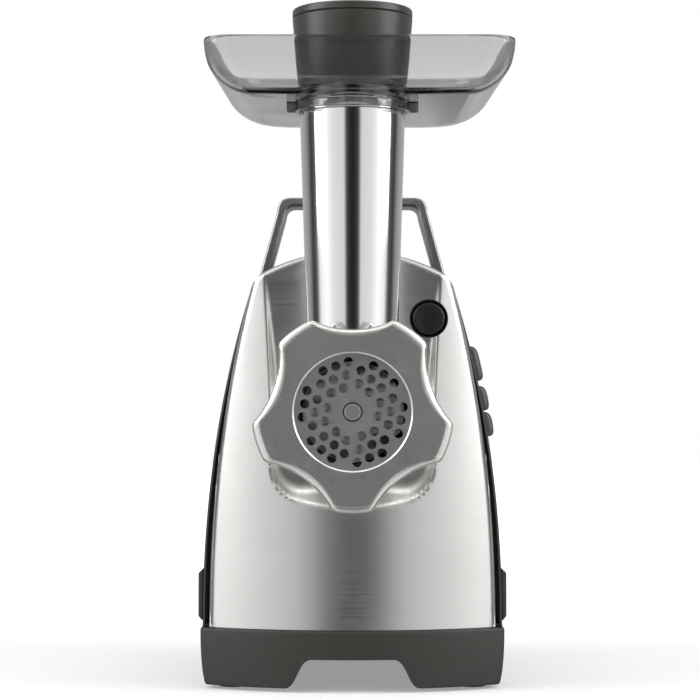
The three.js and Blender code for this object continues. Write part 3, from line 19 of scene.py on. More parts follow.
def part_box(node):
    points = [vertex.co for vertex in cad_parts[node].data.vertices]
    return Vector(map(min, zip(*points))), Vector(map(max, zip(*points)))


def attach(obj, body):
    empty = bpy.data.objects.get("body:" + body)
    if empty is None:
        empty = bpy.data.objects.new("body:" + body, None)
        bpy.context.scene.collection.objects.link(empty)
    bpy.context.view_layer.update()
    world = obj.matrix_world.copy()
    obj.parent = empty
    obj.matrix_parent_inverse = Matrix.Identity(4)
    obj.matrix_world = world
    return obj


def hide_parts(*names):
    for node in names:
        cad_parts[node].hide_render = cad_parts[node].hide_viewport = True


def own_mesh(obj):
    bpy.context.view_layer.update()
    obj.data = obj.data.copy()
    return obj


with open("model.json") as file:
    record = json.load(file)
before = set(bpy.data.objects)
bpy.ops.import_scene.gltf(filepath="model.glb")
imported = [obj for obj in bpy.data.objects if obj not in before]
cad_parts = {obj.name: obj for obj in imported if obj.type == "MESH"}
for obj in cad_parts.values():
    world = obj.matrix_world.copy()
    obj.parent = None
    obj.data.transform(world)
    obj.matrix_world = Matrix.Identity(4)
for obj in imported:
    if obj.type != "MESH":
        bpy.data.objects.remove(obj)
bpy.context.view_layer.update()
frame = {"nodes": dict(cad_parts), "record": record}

MM = 0.001
log = logging.getLogger("grinder")

Colour = tuple[float, float, float]
Point = tuple[float, float]
Loop = list[Vector]


# ---------------------------------------------------------------- shader maths
class Field:
    """A number that varies over a surface, with arithmetic that adds Math nodes."""

    def __init__(self, shader: "Shader", socket: bpy.types.NodeSocket) -> None:
        """Wrap an output socket.

        Args:
            shader: The shader whose tree holds the socket.
            socket: The output that carries the number.
        """
        self.shader = shader
        self.socket = socket

    def _join(self, operation: str, first: "Field | float", second: "Field | float") -> "Field":
        """Return first and second joined by one Math node."""
        node = self.shader.node("ShaderNodeMath", {"operation": operation}, {0: first, 1: second})
        return Field(self.shader, node.outputs[0])

    def __add__(self, other: "Field | float") -> "Field":
        """Return self + other."""
        return self._join("ADD", self, other)

    def __radd__(self, other: float) -> "Field":
        """Return other + self."""
        return self._join("ADD", other, self)

    def __sub__(self, other: "Field | float") -> "Field":
        """Return self - other."""
        return self._join("SUBTRACT", self, other)

    def __rsub__(self, other: float) -> "Field":
        """Return other - self."""
        return self._join("SUBTRACT", other, self)

    def __mul__(self, other: "Field | float") -> "Field":
        """Return self * other."""
        return self._join("MULTIPLY", self, other)

    def __rmul__(self, other: float) -> "Field":
        """Return other * self."""
        return self._join("MULTIPLY", other, self)

    def __pow__(self, other: float) -> "Field":
        """Return self raised to a power."""
        return self._join("POWER", self, other)

    def between(self, low: float, high: float) -> "Field":
        """Return 0 below low, 1 above high and a smooth step between.

        Args:
            low: Value where the step starts.
            high: Value where the step ends.

        Returns:
            The stepped field.
        """
        settings = {"interpolation_type": "SMOOTHSTEP"}
        node = self.shader.node("ShaderNodeMapRange", settings, {"Value": self, "From Min": low, "From Max": high})
        return Field(self.shader, node.outputs["Result"])


class Shader:
    """A material's node tree round one Principled BSDF."""

    def __init__(self, name: str, constants: dict[str, object]) -> None:
        """Make the material.

        Args:
            name: The material's name.
            constants: Values of the Principled sockets that are the same all over.
        """
        self.material = bpy.data.materials.new(name)
        self.material.use_nodes = True
        self.tree = self.material.node_tree
        self.principled = self.tree.nodes["Principled BSDF"]
        for socket, value in constants.items():
            self.principled.inputs[socket].default_value = value
        self.place = self.node("ShaderNodeTexCoord").outputs["Object"]

    def node(self, kind: str, settings: dict | None = None, sockets: dict | None = None) -> bpy.types.Node:
        """Add a node.

        Args:
            kind: The node's type name.
            settings: Properties, set before the sockets.
            sockets: Values, fields or links by socket name or number.

        Returns:
            The new node.
        """
        made = self.tree.nodes.new(kind)
        for key, value in (settings or {}).items():
            setattr(made, key, value)
        for key, value in (sockets or {}).items():
            self.feed(made.inputs[key], value)
        return made

    def feed(self, socket: bpy.types.NodeSocket, value: object) -> None:
        """Link a field or an output to a socket, or set the socket's own value."""
        if isinstance(value, Field):
            value = value.socket
        if isinstance(value, bpy.types.NodeSocket):
            self.tree.links.new(value, socket)
        else:
            socket.default_value = value

    def noise(self, size: Sequence[float], detail: float = 3.0, seed: float = 0.0) -> Field:
        """Return noise whose grain has a given size along each axis.

        Args:
            size: Grain size in metres along X, Y and Z.
            detail: Octaves of the noise.
            seed: Shift that makes two noises differ.

        Returns:
            The noise, about 0 to 1.
        """
        scale = tuple(1.0 / length for length in size)
        turned = self.node("ShaderNodeMapping", None, {"Vector": self.place, "Scale": scale, "Location": (seed,) * 3})
        made = self.node("ShaderNodeTexNoise", None, {"Vector": turned.outputs[0], "Scale": 1.0, "Detail": detail})
        return Field(self, made.outputs[0])

    def blend(self, factor: Field, low: Colour, high: Colour) -> bpy.types.NodeSocket:
        """Return a colour that goes from low to high with the factor."""
        ramp = self.node("ShaderNodeValToRGB", None, {0: factor})
        ramp.color_ramp.elements[0].color = (*low, 1.0)
        ramp.color_ramp.elements[1].color = (*high, 1.0)
        return ramp.outputs[0]

    def surface(self, socket: str, value: object) -> None:
        """Feed one socket of the Principled BSDF."""
        self.feed(self.principled.inputs[socket], value)

    def bump(self, height: Field, distance: float, strength: float = 1.0) -> None:
        """Raise the surface by a height field.

        Args:
            height: The field, 0 to 1.
            distance: Height in metres that 1 stands for.
            strength: Share of the effect.
        """
        made = self.node("ShaderNodeBump", None, {"Height": height, "Distance": distance, "Strength": strength})
        self.surface("Normal", made.outputs[0])


class Grain(Enum):
    """Direction in which a metal surface was worked, as grain sizes in metres along X, Y and Z."""

    ACROSS = (0.14, 0.004, 0.0007)
    ALONG_DEPTH = (0.00025, 0.06, 0.00025)
    UPRIGHT = (0.0009, 0.0009, 0.08)
    NONE = (0.0012, 0.0012, 0.0012)


@dataclass(frozen=True)
class Metal:
    """A bare metal, from brushed to polished to cast."""

    name: str
    colour: Colour
    roughness: float
    grain: Grain = Grain.NONE
    grain_depth: float = 0.00002
    spread: float = 0.08
    tint: float = 0.06

    def build(self) -> bpy.types.Material:
        """Return the material: worked grain, faint blotches and handling marks."""
        shader = Shader(self.name, {"Metallic": 1.0, "IOR": 2.2})
        grain = shader.noise(self.grain.value, 4.0)
        cloud = shader.noise((0.03, 0.03, 0.03), 2.0, 4.0)
        smear = shader.noise((0.008, 0.008, 0.011), 4.0, 9.0).between(0.55, 0.75)
        low = tuple(channel * (1.0 - self.tint) for channel in self.colour)
        high = tuple(min(channel * (1.0 + self.tint), 1.0) for channel in self.colour)
        shader.surface("Base Color", shader.blend(grain * 0.65 + cloud * 0.35, low, high))
        rough = self.roughness + (grain - 0.5) * self.spread + (cloud - 0.5) * self.spread * 0.5 + smear * 0.02
        shader.surface("Roughness", rough)
        shader.bump(grain, self.grain_depth)
        return shader.material


@dataclass(frozen=True)
class Plastic:
    """An opaque moulded plastic or rubber with a fine spark-eroded grain."""

    name: str
    colour: Colour
    roughness: float
    grain: float = 0.00035
    grain_depth: float = 0.00003
    dust: float = 0.25
    specular: float = 0.5

    def build(self) -> bpy.types.Material:
        """Return the material: grain, uneven gloss and slightly paler worn patches."""
        shader = Shader(self.name, {"Specular IOR Level": self.specular})
        grain = shader.noise((self.grain,) * 3, 2.0)
        cloud = shader.noise((0.022, 0.022, 0.022), 3.0, 3.0)
        rub = shader.noise((0.005, 0.005, 0.008), 4.0, 7.0).between(0.58, 0.8)
        pale = tuple(channel + (0.5 - channel) * 0.07 * self.dust * 4.0 for channel in self.colour)
        shader.surface("Base Color", shader.blend(cloud * 0.5 + rub * 0.3, self.colour, pale))
        shader.surface("Roughness", self.roughness + (cloud - 0.5) * 0.12 - rub * 0.04 + (grain - 0.5) * 0.08)
        shader.bump(grain, self.grain_depth)
        return shader.material


@dataclass(frozen=True)
class ClearPlastic:
    """A transparent tinted plastic, polished in the mould."""

    name: str
    colour: Colour
    roughness: float = 0.02
    smoke: float = 0.5
    density: float = 400.0

    def build(self) -> bpy.types.Material:
        """Return the material: clear body with faint scuffs in the gloss."""
        constants = {"Transmission Weight": 1.0, "IOR": 1.47, "Specular IOR Level": 0.5}
        shader = Shader(self.name, constants)
        scuff = shader.noise((0.004, 0.0007, 0.004), 4.0, 2.0).between(0.62, 0.85)
        cloud = shader.noise((0.05, 0.05, 0.05), 2.0, 5.0)
        pale = tuple(min(channel * 1.04, 1.0) for channel in self.colour)
        shader.surface("Base Color", shader.blend(cloud, self.colour, pale))
        shader.surface("Roughness", self.roughness + scuff * 0.03)
        smoke = {"Color": (self.smoke, self.smoke, self.smoke, 1.0), "Density": self.density}
        haze = shader.node("ShaderNodeVolumeAbsorption", None, smoke)
        shader.feed(shader.tree.nodes["Material Output"].inputs["Volume"], haze.outputs[0])
        return shader.material


# ---------------------------------------------------------------- places, in millimetres
def span(node: str) -> tuple[Vector, Vector]:
    """Return the lowest and the highest corner of a CAD node in millimetres."""
    low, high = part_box(node)
    return low / MM, high / MM


def middle_of(node: str) -> tuple[float, ...]:
    """Return the middle of a CAD node's box in millimetres."""
    return tuple((a + b) / 2 for a, b in zip(*span(node)))


def radius_of(node: str) -> float:
    """Return half a CAD node's width in millimetres."""
    low, high = span(node)
    return (high.x - low.x) / 2


NUT_FRONT = span("ring_nut")[0].y
AXIS_Z = middle_of("cutting_plate")[2]
TUBE_DEPTH = 55.0
THREAD_PITCH = 2.6
LUG_MIDDLES = (45.0, 165.0, 285.0)


def at(depth: float) -> float:
    """Return the y of a depth measured back from the ring nut's face."""
    return NUT_FRONT + depth


def depth_of(y: float) -> float:
    """Return the depth behind the ring nut's face of a y."""
    return y - NUT_FRONT


def extent(node: str) -> tuple[float, float]:
    """Return the depths of a CAD node's front and back."""
    low, high = span(node)
    return depth_of(low.y), depth_of(high.y)


INWARD, UP = Vector((0, 1, 0)), Vector((0, 0, 1))
DRIVE_AXIS = Vector((0, at(0), AXIS_Z))
TUBE_FOOT = Vector((0, at(TUBE_DEPTH), 0))


def polar(radius: float, degrees: float) -> Point:
    """Return the two coordinates of a point at a radius and an angle."""
    return radius * math.cos(math.radians(degrees)), radius * math.sin(math.radians(degrees))


def mix(low: float, high: float, share: float) -> float:
    """Return the value at a share of the way from low to high."""
    return low + (high - low) * share


def bow(start: Point, control: Point, end: Point, steps: int) -> list[Point]:
    """Return points along a quadratic curve, without its end.

    Args:
        start: First point.
        control: Control point.
        end: Last point, left out.
        steps: Number of points.
    """
    found = []
    for i in range(steps):
        t = i / steps
        weights = ((1 - t) ** 2, 2 * t * (1 - t), t * t)
        found.append(tuple(sum(w * p[k] for w, p in zip(weights, (start, control, end))) for k in (0, 1)))
    return found


def fillet(distance: float, radius: float) -> float:
    """Return how far a round edge falls back at a distance from the edge.

    Args:
        distance: Distance inside the edge.
        radius: Radius of the round.
    """
    if distance >= radius:
        return 0.0
    return radius - math.sqrt(max(radius**2 - (radius - max(distance, 0.0)) ** 2, 0.0))


def soft_max(first: float, second: float, reach: float) -> float:
    """Return the larger of two values, with a soft change between them.

    Args:
        first: One value.
        second: The other value.
        reach: Difference below which the two are blended.
    """
    share = max(reach - abs(first - second), 0.0) / reach
    return max(first, second) + share * share * reach / 4


# ---------------------------------------------------------------- mesh work
class Form:
    """A mesh that is built step by step, in millimetres."""

    def __init__(self) -> None:
        """Start an empty mesh."""
        self.mesh = bmesh.new()

    def loft(self, loops: Iterable[Sequence[Vector]], start: bool = False, end: bool = False) -> "Form":
        """Extrude a closed loop from place to place.

        Args:
            loops: The loop's points at each place, the same number each time.
            start: Whether to close the first loop with a face.
            end: Whether to close the last loop with a face.

        Returns:
            The form itself.
        """
        places = iter(loops)
        ring = [self.mesh.verts.new(point) for point in next(places)]
        edges = [self.mesh.edges.new((ring[i - 1], ring[i])) for i in range(len(ring))]
        if start:
            self.mesh.faces.new(ring)
        for points in places:
            made = bmesh.ops.extrude_edge_only(self.mesh, edges=edges)["geom"]
            fresh = {item for item in made if isinstance(item, bmesh.types.BMVert)}
            ring = [next(e.other_vert(v) for e in v.link_edges if e.other_vert(v) in fresh) for v in ring]
            for vert, point in zip(ring, points):
                vert.co = point
            edges = [item for item in made if isinstance(item, bmesh.types.BMEdge)]
            edges = [edge for edge in edges if edge.verts[0] in fresh and edge.verts[1] in fresh]
        if end:
            self.mesh.faces.new(ring)
        return self

    def turn(self, profile: Sequence[Point], centre: Vector, axis: Vector, steps: int = 112) -> "Form":
        """Spin a profile into a full turned shape.

        Args:
            profile: Pairs of radius and distance along the axis; a closed wall repeats its first pair.
            centre: A point of the axis at distance zero.
            axis: Direction of the axis.
            steps: Facets of the full turn.

        Returns:
            The form itself.
        """
        side = axis.orthogonal().normalized()
        verts = [self.mesh.verts.new(centre + side * radius + axis * along) for radius, along in profile]
        edges = [self.mesh.edges.new(pair) for pair in zip(verts, verts[1:])]
        bmesh.ops.spin(self.mesh, geom=verts + edges, cent=centre, axis=axis, angle=math.tau, steps=steps,
                       use_merge=True)
        return self.clean()

    def clean(self) -> "Form":
        """Merge doubled vertices and point every face outwards."""
        bmesh.ops.remove_doubles(self.mesh, verts=self.mesh.verts, dist=0.002)
        bmesh.ops.recalc_face_normals(self.mesh, faces=self.mesh.faces)
        return self

    def round_edges(self, radius: float, segments: int = 3, angle: float = 30.0) -> "Form":
        """Round the edges where two faces meet at more than an angle.

        Args:
            radius: Width of the round.
            segments: Facets across it.
            angle: Least angle between the faces, in degrees.

        Returns:
            The form itself.
        """
        limit = math.radians(angle)
        sharp = [e for e in self.mesh.edges if len(e.link_faces) == 2 and e.calc_face_angle(0.0) > limit]
        bmesh.ops.bevel(self.mesh, geom=sharp, offset=radius, segments=segments, profile=0.5, affect="EDGES",
                        material=-1, clamp_overlap=True)
        return self

    def add(self, other: "Form") -> "Form":
        """Take in a copy of another form's mesh, which is used up."""
        spare = bpy.data.meshes.new("spare")
        other.mesh.to_mesh(spare)
        other.mesh.free()
        self.mesh.from_mesh(spare)
        bpy.data.meshes.remove(spare)
        return self

    def to_mesh(self, name: str) -> bpy.types.Mesh:
        """Return the form as mesh data in millimetres, using it up."""
        data = bpy.data.meshes.new(name)
        self.mesh.to_mesh(data)
        self.mesh.free()
        return data


class Cut(Enum):
    """What a Boolean does with its second shape."""

    TAKE_AWAY = "DIFFERENCE"
    JOIN = "UNION"


def spare_object(form: Form, name: str = "spare") -> bpy.types.Object:
    """Return a form as an object of the scene."""
    made = bpy.data.objects.new(name, form.to_mesh(name))
    bpy.context.scene.collection.objects.link(made)
    return made


def apply_all(target: bpy.types.Object) -> None:
    """Replace an object's mesh by what its modifiers make of it, and remove them."""
    graph = bpy.context.evaluated_depsgraph_get()
    fresh = bpy.data.meshes.new_from_object(target.evaluated_get(graph))
    target.modifiers.clear()
    target.data = fresh


def combine(target: bpy.types.Object, tools: Sequence[tuple[Cut, Form]]) -> None:
    """Join shapes to an object or cut them out of it.

    Args:
        target: The object that is changed.
        tools: What to do with each shape, in order.
    """
    spares = []
    for cut, form in tools:
        tool = spare_object(form)
        step = target.modifiers.new("step", "BOOLEAN")
        step.operation = cut.value
        step.solver = "EXACT"
        step.object = tool
        spares.append(tool)
    bpy.context.view_layer.update()
    apply_all(target)
    for tool in spares:
        bpy.data.objects.remove(tool)


def wall(target: bpy.types.Object, thickness: float) -> None:
    """Give an open skin a thickness inwards and make it part of the mesh."""
    step = target.modifiers.new("wall", "SOLIDIFY")
    step.thickness = thickness
    step.offset = -1.0
    step.use_even_offset = False
    apply_all(target)


class Finisher:
    """Turns shapes into finished pieces: scaled, dressed, named and riding on their body."""

    def __init__(self, finishes: dict[str, bpy.types.Material]) -> None:
        """Keep the material of each of the record's slots."""
        self.finishes = finishes

    def piece(self, shape: bpy.types.Object | Form, name: str, slot: str, body: str, *nodes: str,
              crease: float = 32.0) -> bpy.types.Object:
        """Finish one piece.

        Args:
            shape: The shape in millimetres, an object or a form.
            name: Name of the piece.
            slot: The record's material slot.
            body: The CAD body it rides on.
            nodes: CAD nodes that it replaces.
            crease: Angle above which an edge stays sharp, in degrees.

        Returns:
            The finished object.
        """
        made = spare_object(shape, name) if isinstance(shape, Form) else shape
        made.name = name
        made.data.name = name
        made.data.transform(Matrix.Scale(MM, 4))
        made.data.polygons.foreach_set("use_smooth", [True] * len(made.data.polygons))
        made.data.set_sharp_from_angle(angle=math.radians(crease))
        made.data.materials.clear()
        made.data.materials.append(self.finishes[slot])
        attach(made, body)
        if nodes:
            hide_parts(*nodes)
        log.info("%s: %d faces", name, len(made.data.polygons))
        return made


def block(low: Sequence[float], high: Sequence[float]) -> Form:
    """Return a block between two corners.

    Args:
        low: Lowest x, y and z.
        high: Highest x, y and z.
    """
    form = Form()
    size = Vector(high) - Vector(low)
    place = Matrix.Translation((Vector(high) + Vector(low)) / 2) @ Matrix.Diagonal((*size, 1.0))
    bmesh.ops.create_cube(form.mesh, size=1.0, matrix=place)
    return form


def rod(radius: float, start: float, end: float, x: float = 0.0, z: float = AXIS_Z, steps: int = 64) -> Form:
    """Return a round bar along the depth.

    Args:
        radius: Its radius.
        start: Depth of its front.
        end: Depth of its back.
        x: Its axis across.
        z: Its axis up.
        steps: Facets round it.
    """
    form = Form()
    place = Matrix.Translation((x, at((start + end) / 2), z)) @ Matrix.Rotation(math.pi / 2, 4, "X")
    bmesh.ops.create_cone(form.mesh, cap_ends=True, segments=steps, radius1=radius, radius2=radius,
                          depth=end - start, matrix=place)
    return form


def slab(outline: Sequence[Point], start: float, end: float) -> Form:
    """Return an outline in x and z filled between two depths."""
    loops = ([Vector((x, at(depth), z)) for x, z in outline] for depth in (start, end))
    return Form().loft(loops, start=True, end=True).clean()


def lug(radii: tuple[float, float], middle: float, start: float, end: float) -> Form:
    """Return a block of a ring round the drive axis, 28 degrees long.

    Args:
        radii: The radii of its two faces.
        middle: Angle of its middle, in degrees.
        start: Depth of its front.
        end: Depth of its back.
    """
    points = []
    for radius, angles in zip(radii, (range(-7, 8), range(7, -8, -1))):
        for k in angles:
            x, z = polar(radius, middle + 2 * k)
            points.append((x, AXIS_Z + z))
    return slab(points, start, end)


def from_node(node: str, merge: float = 0.02) -> Form:
    """Return a copy of a CAD node's mesh in millimetres, with its flat faces whole again.

    Args:
        node: The node's name.
        merge: Distance below which its corners are one.
    """
    form = Form()
    form.mesh.from_mesh(frame["nodes"][node].data)
    bmesh.ops.transform(form.mesh, matrix=Matrix.Scale(1 / MM, 4), verts=form.mesh.verts)
    bmesh.ops.remove_doubles(form.mesh, verts=form.mesh.verts, dist=merge)
    bmesh.ops.dissolve_limit(form.mesh, angle_limit=math.radians(1.0), verts=form.mesh.verts, edges=form.mesh.edges)
    return form


# ---------------------------------------------------------------- housing
@dataclass
class Body:
    """The arched front view that the housing, the steel front and the rear cover share."""

    foot_z: float = field(default_factory=lambda: span("main_housing")[0].z)
    top_z: float = field(default_factory=lambda: span("main_housing")[1].z)
    half_foot: float = 80.3
    half_top: float = 52.3
    shoulder_drop: float = 12.5
    shoulder_radius: float = 8.0
    top_radius: float = 105.0
    side_power: float = 2.17

    def half(self, z: float, foot: float) -> float:
        """Return the half width at a height for a given half width at the foot."""
        rise = (z - self.foot_z) / (self.top_z - self.shoulder_drop - self.foot_z)
        return foot - (foot - self.half_top) * min(max(rise, 0.0), 1.0) ** self.side_power

    def outline(self, foot: float, inset: float = 0.0, side_steps: int = 44) -> list[Point]:
        """Return the closed outline in x and z, from the right foot round over the top.

        Args:
            foot: Half width at the foot.
            inset: How far the outline is drawn in.
            side_steps: Number of points on each side.
        """
        low = self.foot_z + inset
        shoulder_z = self.top_z - self.shoulder_drop
        bend = shoulder_z - self.shoulder_radius
        radius = self.top_radius - inset
        centre = self.top_z - self.top_radius
        shoulder = self.half_top - inset
        spread = math.asin((shoulder - self.shoulder_radius) / radius)
        corner = (shoulder, centre + math.sqrt(radius**2 - shoulder**2))
        side = []
        for i in range(side_steps):
            z = mix(low, bend, i / side_steps)
            side.append((self.half(z, foot) - inset, z))
        last = (self.half(bend, foot) - inset, bend)
        arc_end = (radius * math.sin(spread), centre + radius * math.cos(spread))
        right = side + bow(last, corner, arc_end, 14)
        steps = 20
        for i in range(steps):
            angle = mix(spread, 0.0, i / steps)
            right.append((radius * math.sin(angle), centre + radius * math.cos(angle)))
        left = [(-x, z) for x, z in reversed(right)]
        return right + [(0.0, centre + radius)] + left

    def loop(self, foot: float, depth: float, inset: float = 0.0) -> Loop:
        """Return the outline at a depth."""
        return [Vector((x, at(depth), z)) for x, z in self.outline(foot, inset)]


@dataclass
class SteelFront:
    """The brushed steel front: an upright drum with the dock pocket pressed into it."""

    body: Body
    half_foot: float = 76.6
    nose: float = 83.0
    radius: float = 142.0
    lean: float = 0.018
    thickness: float = 2.2
    back: float = field(default_factory=lambda: extent("front_fascia")[1])
    floor: float = 95.0
    pocket_half: float = 40.2
    pocket_flare: float = 14.0
    pocket_corner: float = 13.0
    pocket_below: float = 40.4
    wall_slope: float = 12.0 / 10.8
    pocket_straight: float = 27.4
    pocket_rise: float = 134.0
    floor_bend: float = 3.0
    rim_bend: float = 1.0
    crowding: float = 0.62
    button_gap: float = 1.6
    edge_round: float = 3.4
    dock_hole: float = 38.9
    around: int = 560
    rings: int = 58

    def pocket_distance(self, x: float, z: float) -> float:
        """Return the distance outside the pocket's flat floor, negative inside."""
        rise = max(z - (AXIS_Z - self.pocket_straight), 0.0) / self.pocket_rise
        half = self.pocket_half + self.pocket_flare * rise**2
        across = abs(x) - half + self.pocket_corner
        down = AXIS_Z - self.pocket_below + self.pocket_corner - z
        outside = math.hypot(max(across, 0.0), max(down, 0.0))
        return outside + min(max(across, down), 0.0) - self.pocket_corner

    def depth(self, x: float, z: float, edge: float) -> float:
        """Return the surface's depth.

        Args:
            x: Place across.
            z: Height.
            edge: Distance inside the outline.
        """
        radius = self.radius - (z - self.body.foot_z) * self.lean
        drum = self.nose + self.radius - math.sqrt(radius**2 - x**2)
        away = self.pocket_distance(x, z)
        cone = -soft_max(-self.floor, -(self.floor - away * self.wall_slope), self.floor_bend)
        return min(soft_max(drum, cone, self.rim_bend) + fillet(edge, self.edge_round), self.back - 0.2)

    def edge_distance(self, x: float, z: float) -> float:
        """Return the distance inside the outline's sides and top."""
        slope = self.body.half(z - 0.5, self.half_foot) - self.body.half(z + 0.5, self.half_foot)
        side = (self.body.half(z, self.half_foot) - abs(x)) / math.hypot(1.0, slope)
        above = z - self.body.top_z + self.body.top_radius
        return min(side, self.body.top_radius - math.hypot(x, above)) if above > 0 else side

    def ray_ends(self) -> list[Point]:
        """Return the outline's points at even angles round the drive axis, with its two foot corners kept."""
        outline = self.body.outline(self.half_foot)
        turn = [math.atan2(z - AXIS_Z, x) % math.tau for x, z in outline]
        order = sorted(range(len(outline)), key=turn.__getitem__)
        angles = [turn[i] for i in order]
        points = [outline[i] for i in order]
        ends = []
        for k in range(self.around):
            angle = math.tau * k / self.around
            after = next((i for i, value in enumerate(angles) if value >= angle), 0)
            (ax, az), (bx, bz) = points[after - 1], points[after]
            dx, dz = math.cos(angle), math.sin(angle)
            cross = dx * (bz - az) - dz * (bx - ax)
            reach = (ax * (bz - az) - (az - AXIS_Z) * (bx - ax)) / cross
            ends.append((reach * dx, AXIS_Z + reach * dz))
        for corner in (outline[0], outline[-1]):
            angle = math.atan2(corner[1] - AXIS_Z, corner[0]) % math.tau
            ends[round(angle / math.tau * self.around) % self.around] = corner
        return ends

    def build(self, finisher: Finisher) -> None:
        """Build the front from rings between the dock's hole and the outline."""
        ends = self.ray_ends()
        loops = []
        for ring in range(self.rings + 1):
            t = ring / self.rings
            share = t - self.crowding * math.sin(math.tau * t) / math.tau
            loop = []
            for k, (ex, ez) in enumerate(ends):
                sx, sz = polar(self.dock_hole, 360.0 * k / self.around)
                x, z = mix(sx, ex, share), mix(AXIS_Z + sz, ez, share)
                edge = max(self.edge_distance(x, z), 0.0)
                loop.append(Vector((x, at(self.depth(x, z, edge)), z)))
            loops.append(loop)
        loops.append([Vector((p.x, at(self.back), p.z)) for p in loops[-1]])
        form = Form().loft(loops)
        if self.faces_back(form):
            bmesh.ops.reverse_faces(form.mesh, faces=form.mesh.faces)
        front = spare_object(form)
        wall(front, self.thickness)
        x, _, z = middle_of("release_button")
        hole = rod(radius_of("release_button") + self.button_gap, self.floor - 12, self.floor + 9, x, z, 72)
        combine(front, [(Cut.TAKE_AWAY, hole)])
        finisher.piece(front, "steel_front", "steel_front", "housing", "front_fascia", crease=40)

    @staticmethod
    def faces_back(form: Form) -> bool:
        """Return whether the skin's first face looks away from the front."""
        form.mesh.faces.ensure_lookup_table()
        form.mesh.normal_update()
        return form.mesh.faces[0].normal.y > 0


@dataclass
class Housing:
    """The moulded shell behind the steel front, its rear cover and the side vents."""

    body: Body
    thickness: float = 2.9
    front: float = field(default_factory=lambda: extent("main_housing")[0])
    back: float = field(default_factory=lambda: extent("main_housing")[1])
    cover_front: float = field(default_factory=lambda: extent("rear_cover")[0])
    cover_back: float = field(default_factory=lambda: extent("rear_cover")[1])
    cover_thickness: float = 2.8
    cover_round: float = 6.0
    screw_boss: float = 5.2
    screw_well: float = 3.7
    screw_hole: float = 1.9
    slot_columns: tuple[float, ...] = (-18, 0, 18)
    slot_half: float = 7.8
    slot_pitch: float = 9.0
    slot_start: float = 23.0
    lip_round: float = 1.1
    slots: int = 6

    def shell(self, finisher: Finisher) -> None:
        """Build the main shell, open at both ends, with windows for the buttons and the vents."""
        body = self.body
        places = [(self.front, self.lip_round), (self.front + 0.3, 0.4), (self.front + self.lip_round, 0.0)]
        steps = 16
        for i in range(1, steps):
            places.append((mix(self.front, self.back, i / steps), 0.0))
        places += [(self.back - 0.6, 0.0), (self.back - 0.1, 0.3), (self.back, 0.7)]
        form = Form().loft([body.loop(body.half_foot, depth, inset) for depth, inset in places])
        bmesh.ops.recalc_face_normals(form.mesh, faces=form.mesh.faces)
        shell = spare_object(form)
        wall(shell, self.thickness)
        cuts = []
        for name in ("power_button", "forward_button", "reverse_button"):
            low, high = span(name)
            cuts.append((Cut.TAKE_AWAY, block((high.x - 14, low.y - 0.5, low.z - 0.5),
                                              (high.x + 8, high.y + 0.5, high.z + 0.5))))
        for name in ("vent_cover_left", "vent_cover_right"):
            low, high = span(name)
            window = block((low.x - 5, low.y + 8, low.z + 5), (high.x + 5, high.y - 8, high.z - 5))
            cuts.append((Cut.TAKE_AWAY, window))
        combine(shell, cuts)
        finisher.piece(shell, "housing_shell", "dark_plastic", "housing", "main_housing")

    def cover(self, finisher: Finisher) -> None:
        """Build the rear cover with its rounded edge, air slots, screw wells and gland hole."""
        body = self.body
        places = [(self.cover_front, 0.7), (self.cover_front + 0.2, 0.2), (self.cover_front + 0.9, 0.0)]
        turn = self.cover_back - self.cover_round
        steps = 8
        for i in range(steps + 1):
            across, back = polar(self.cover_round, 90 * i / steps)
            places.append((turn + back, self.cover_round - across))
        form = Form().loft([body.loop(body.half_foot, depth, inset) for depth, inset in places], end=True)
        bmesh.ops.recalc_face_normals(form.mesh, faces=form.mesh.faces)
        cover = spare_object(form)
        wall(cover, self.cover_thickness)
        tools = []
        for node in ("rear_screw_left", "rear_screw_right"):
            x, _, z = middle_of(node)
            tools.append((Cut.JOIN, rod(self.screw_boss, self.cover_front + 1, self.cover_back - 0.5, x, z, 40)))
            tools.append((Cut.TAKE_AWAY, rod(self.screw_well, self.cover_back - 3, self.cover_back + 2, x, z, 40)))
            tools.append((Cut.TAKE_AWAY, rod(self.screw_hole, self.cover_front - 1, self.cover_back + 2, x, z, 32)))
        x, _, z = middle_of("cord_gland")
        hole = rod(radius_of("cord_gland") + 0.3, self.cover_front - 5, self.cover_back + 5, x, z, 56)
        tools.append((Cut.TAKE_AWAY, hole))
        for i in range(self.slots):
            z = self.body.foot_z + self.slot_start + self.slot_pitch * i
            for x in self.slot_columns:
                bar = block((x - self.slot_half, at(self.cover_back) - 8, z),
                            (x + self.slot_half, at(self.cover_back) + 1, z + 4))
                tools.append((Cut.TAKE_AWAY, bar.round_edges(1.9, 4, 80)))
        combine(cover, tools)
        finisher.piece(cover, "back_cover", "dark_plastic", "housing", "rear_cover")

    def vents(self, finisher: Finisher) -> None:
        """Round the edges of the two vent covers."""
        for side in ("left", "right"):
            form = from_node(f"vent_cover_{side}").round_edges(0.45, 2)
            finisher.piece(form, f"side_vent_{side}", "dark_plastic", "housing", f"vent_cover_{side}")

    def build(self, finisher: Finisher) -> None:
        """Build every part of the housing."""
        self.shell(finisher)
        self.cover(finisher)
        self.vents(finisher)


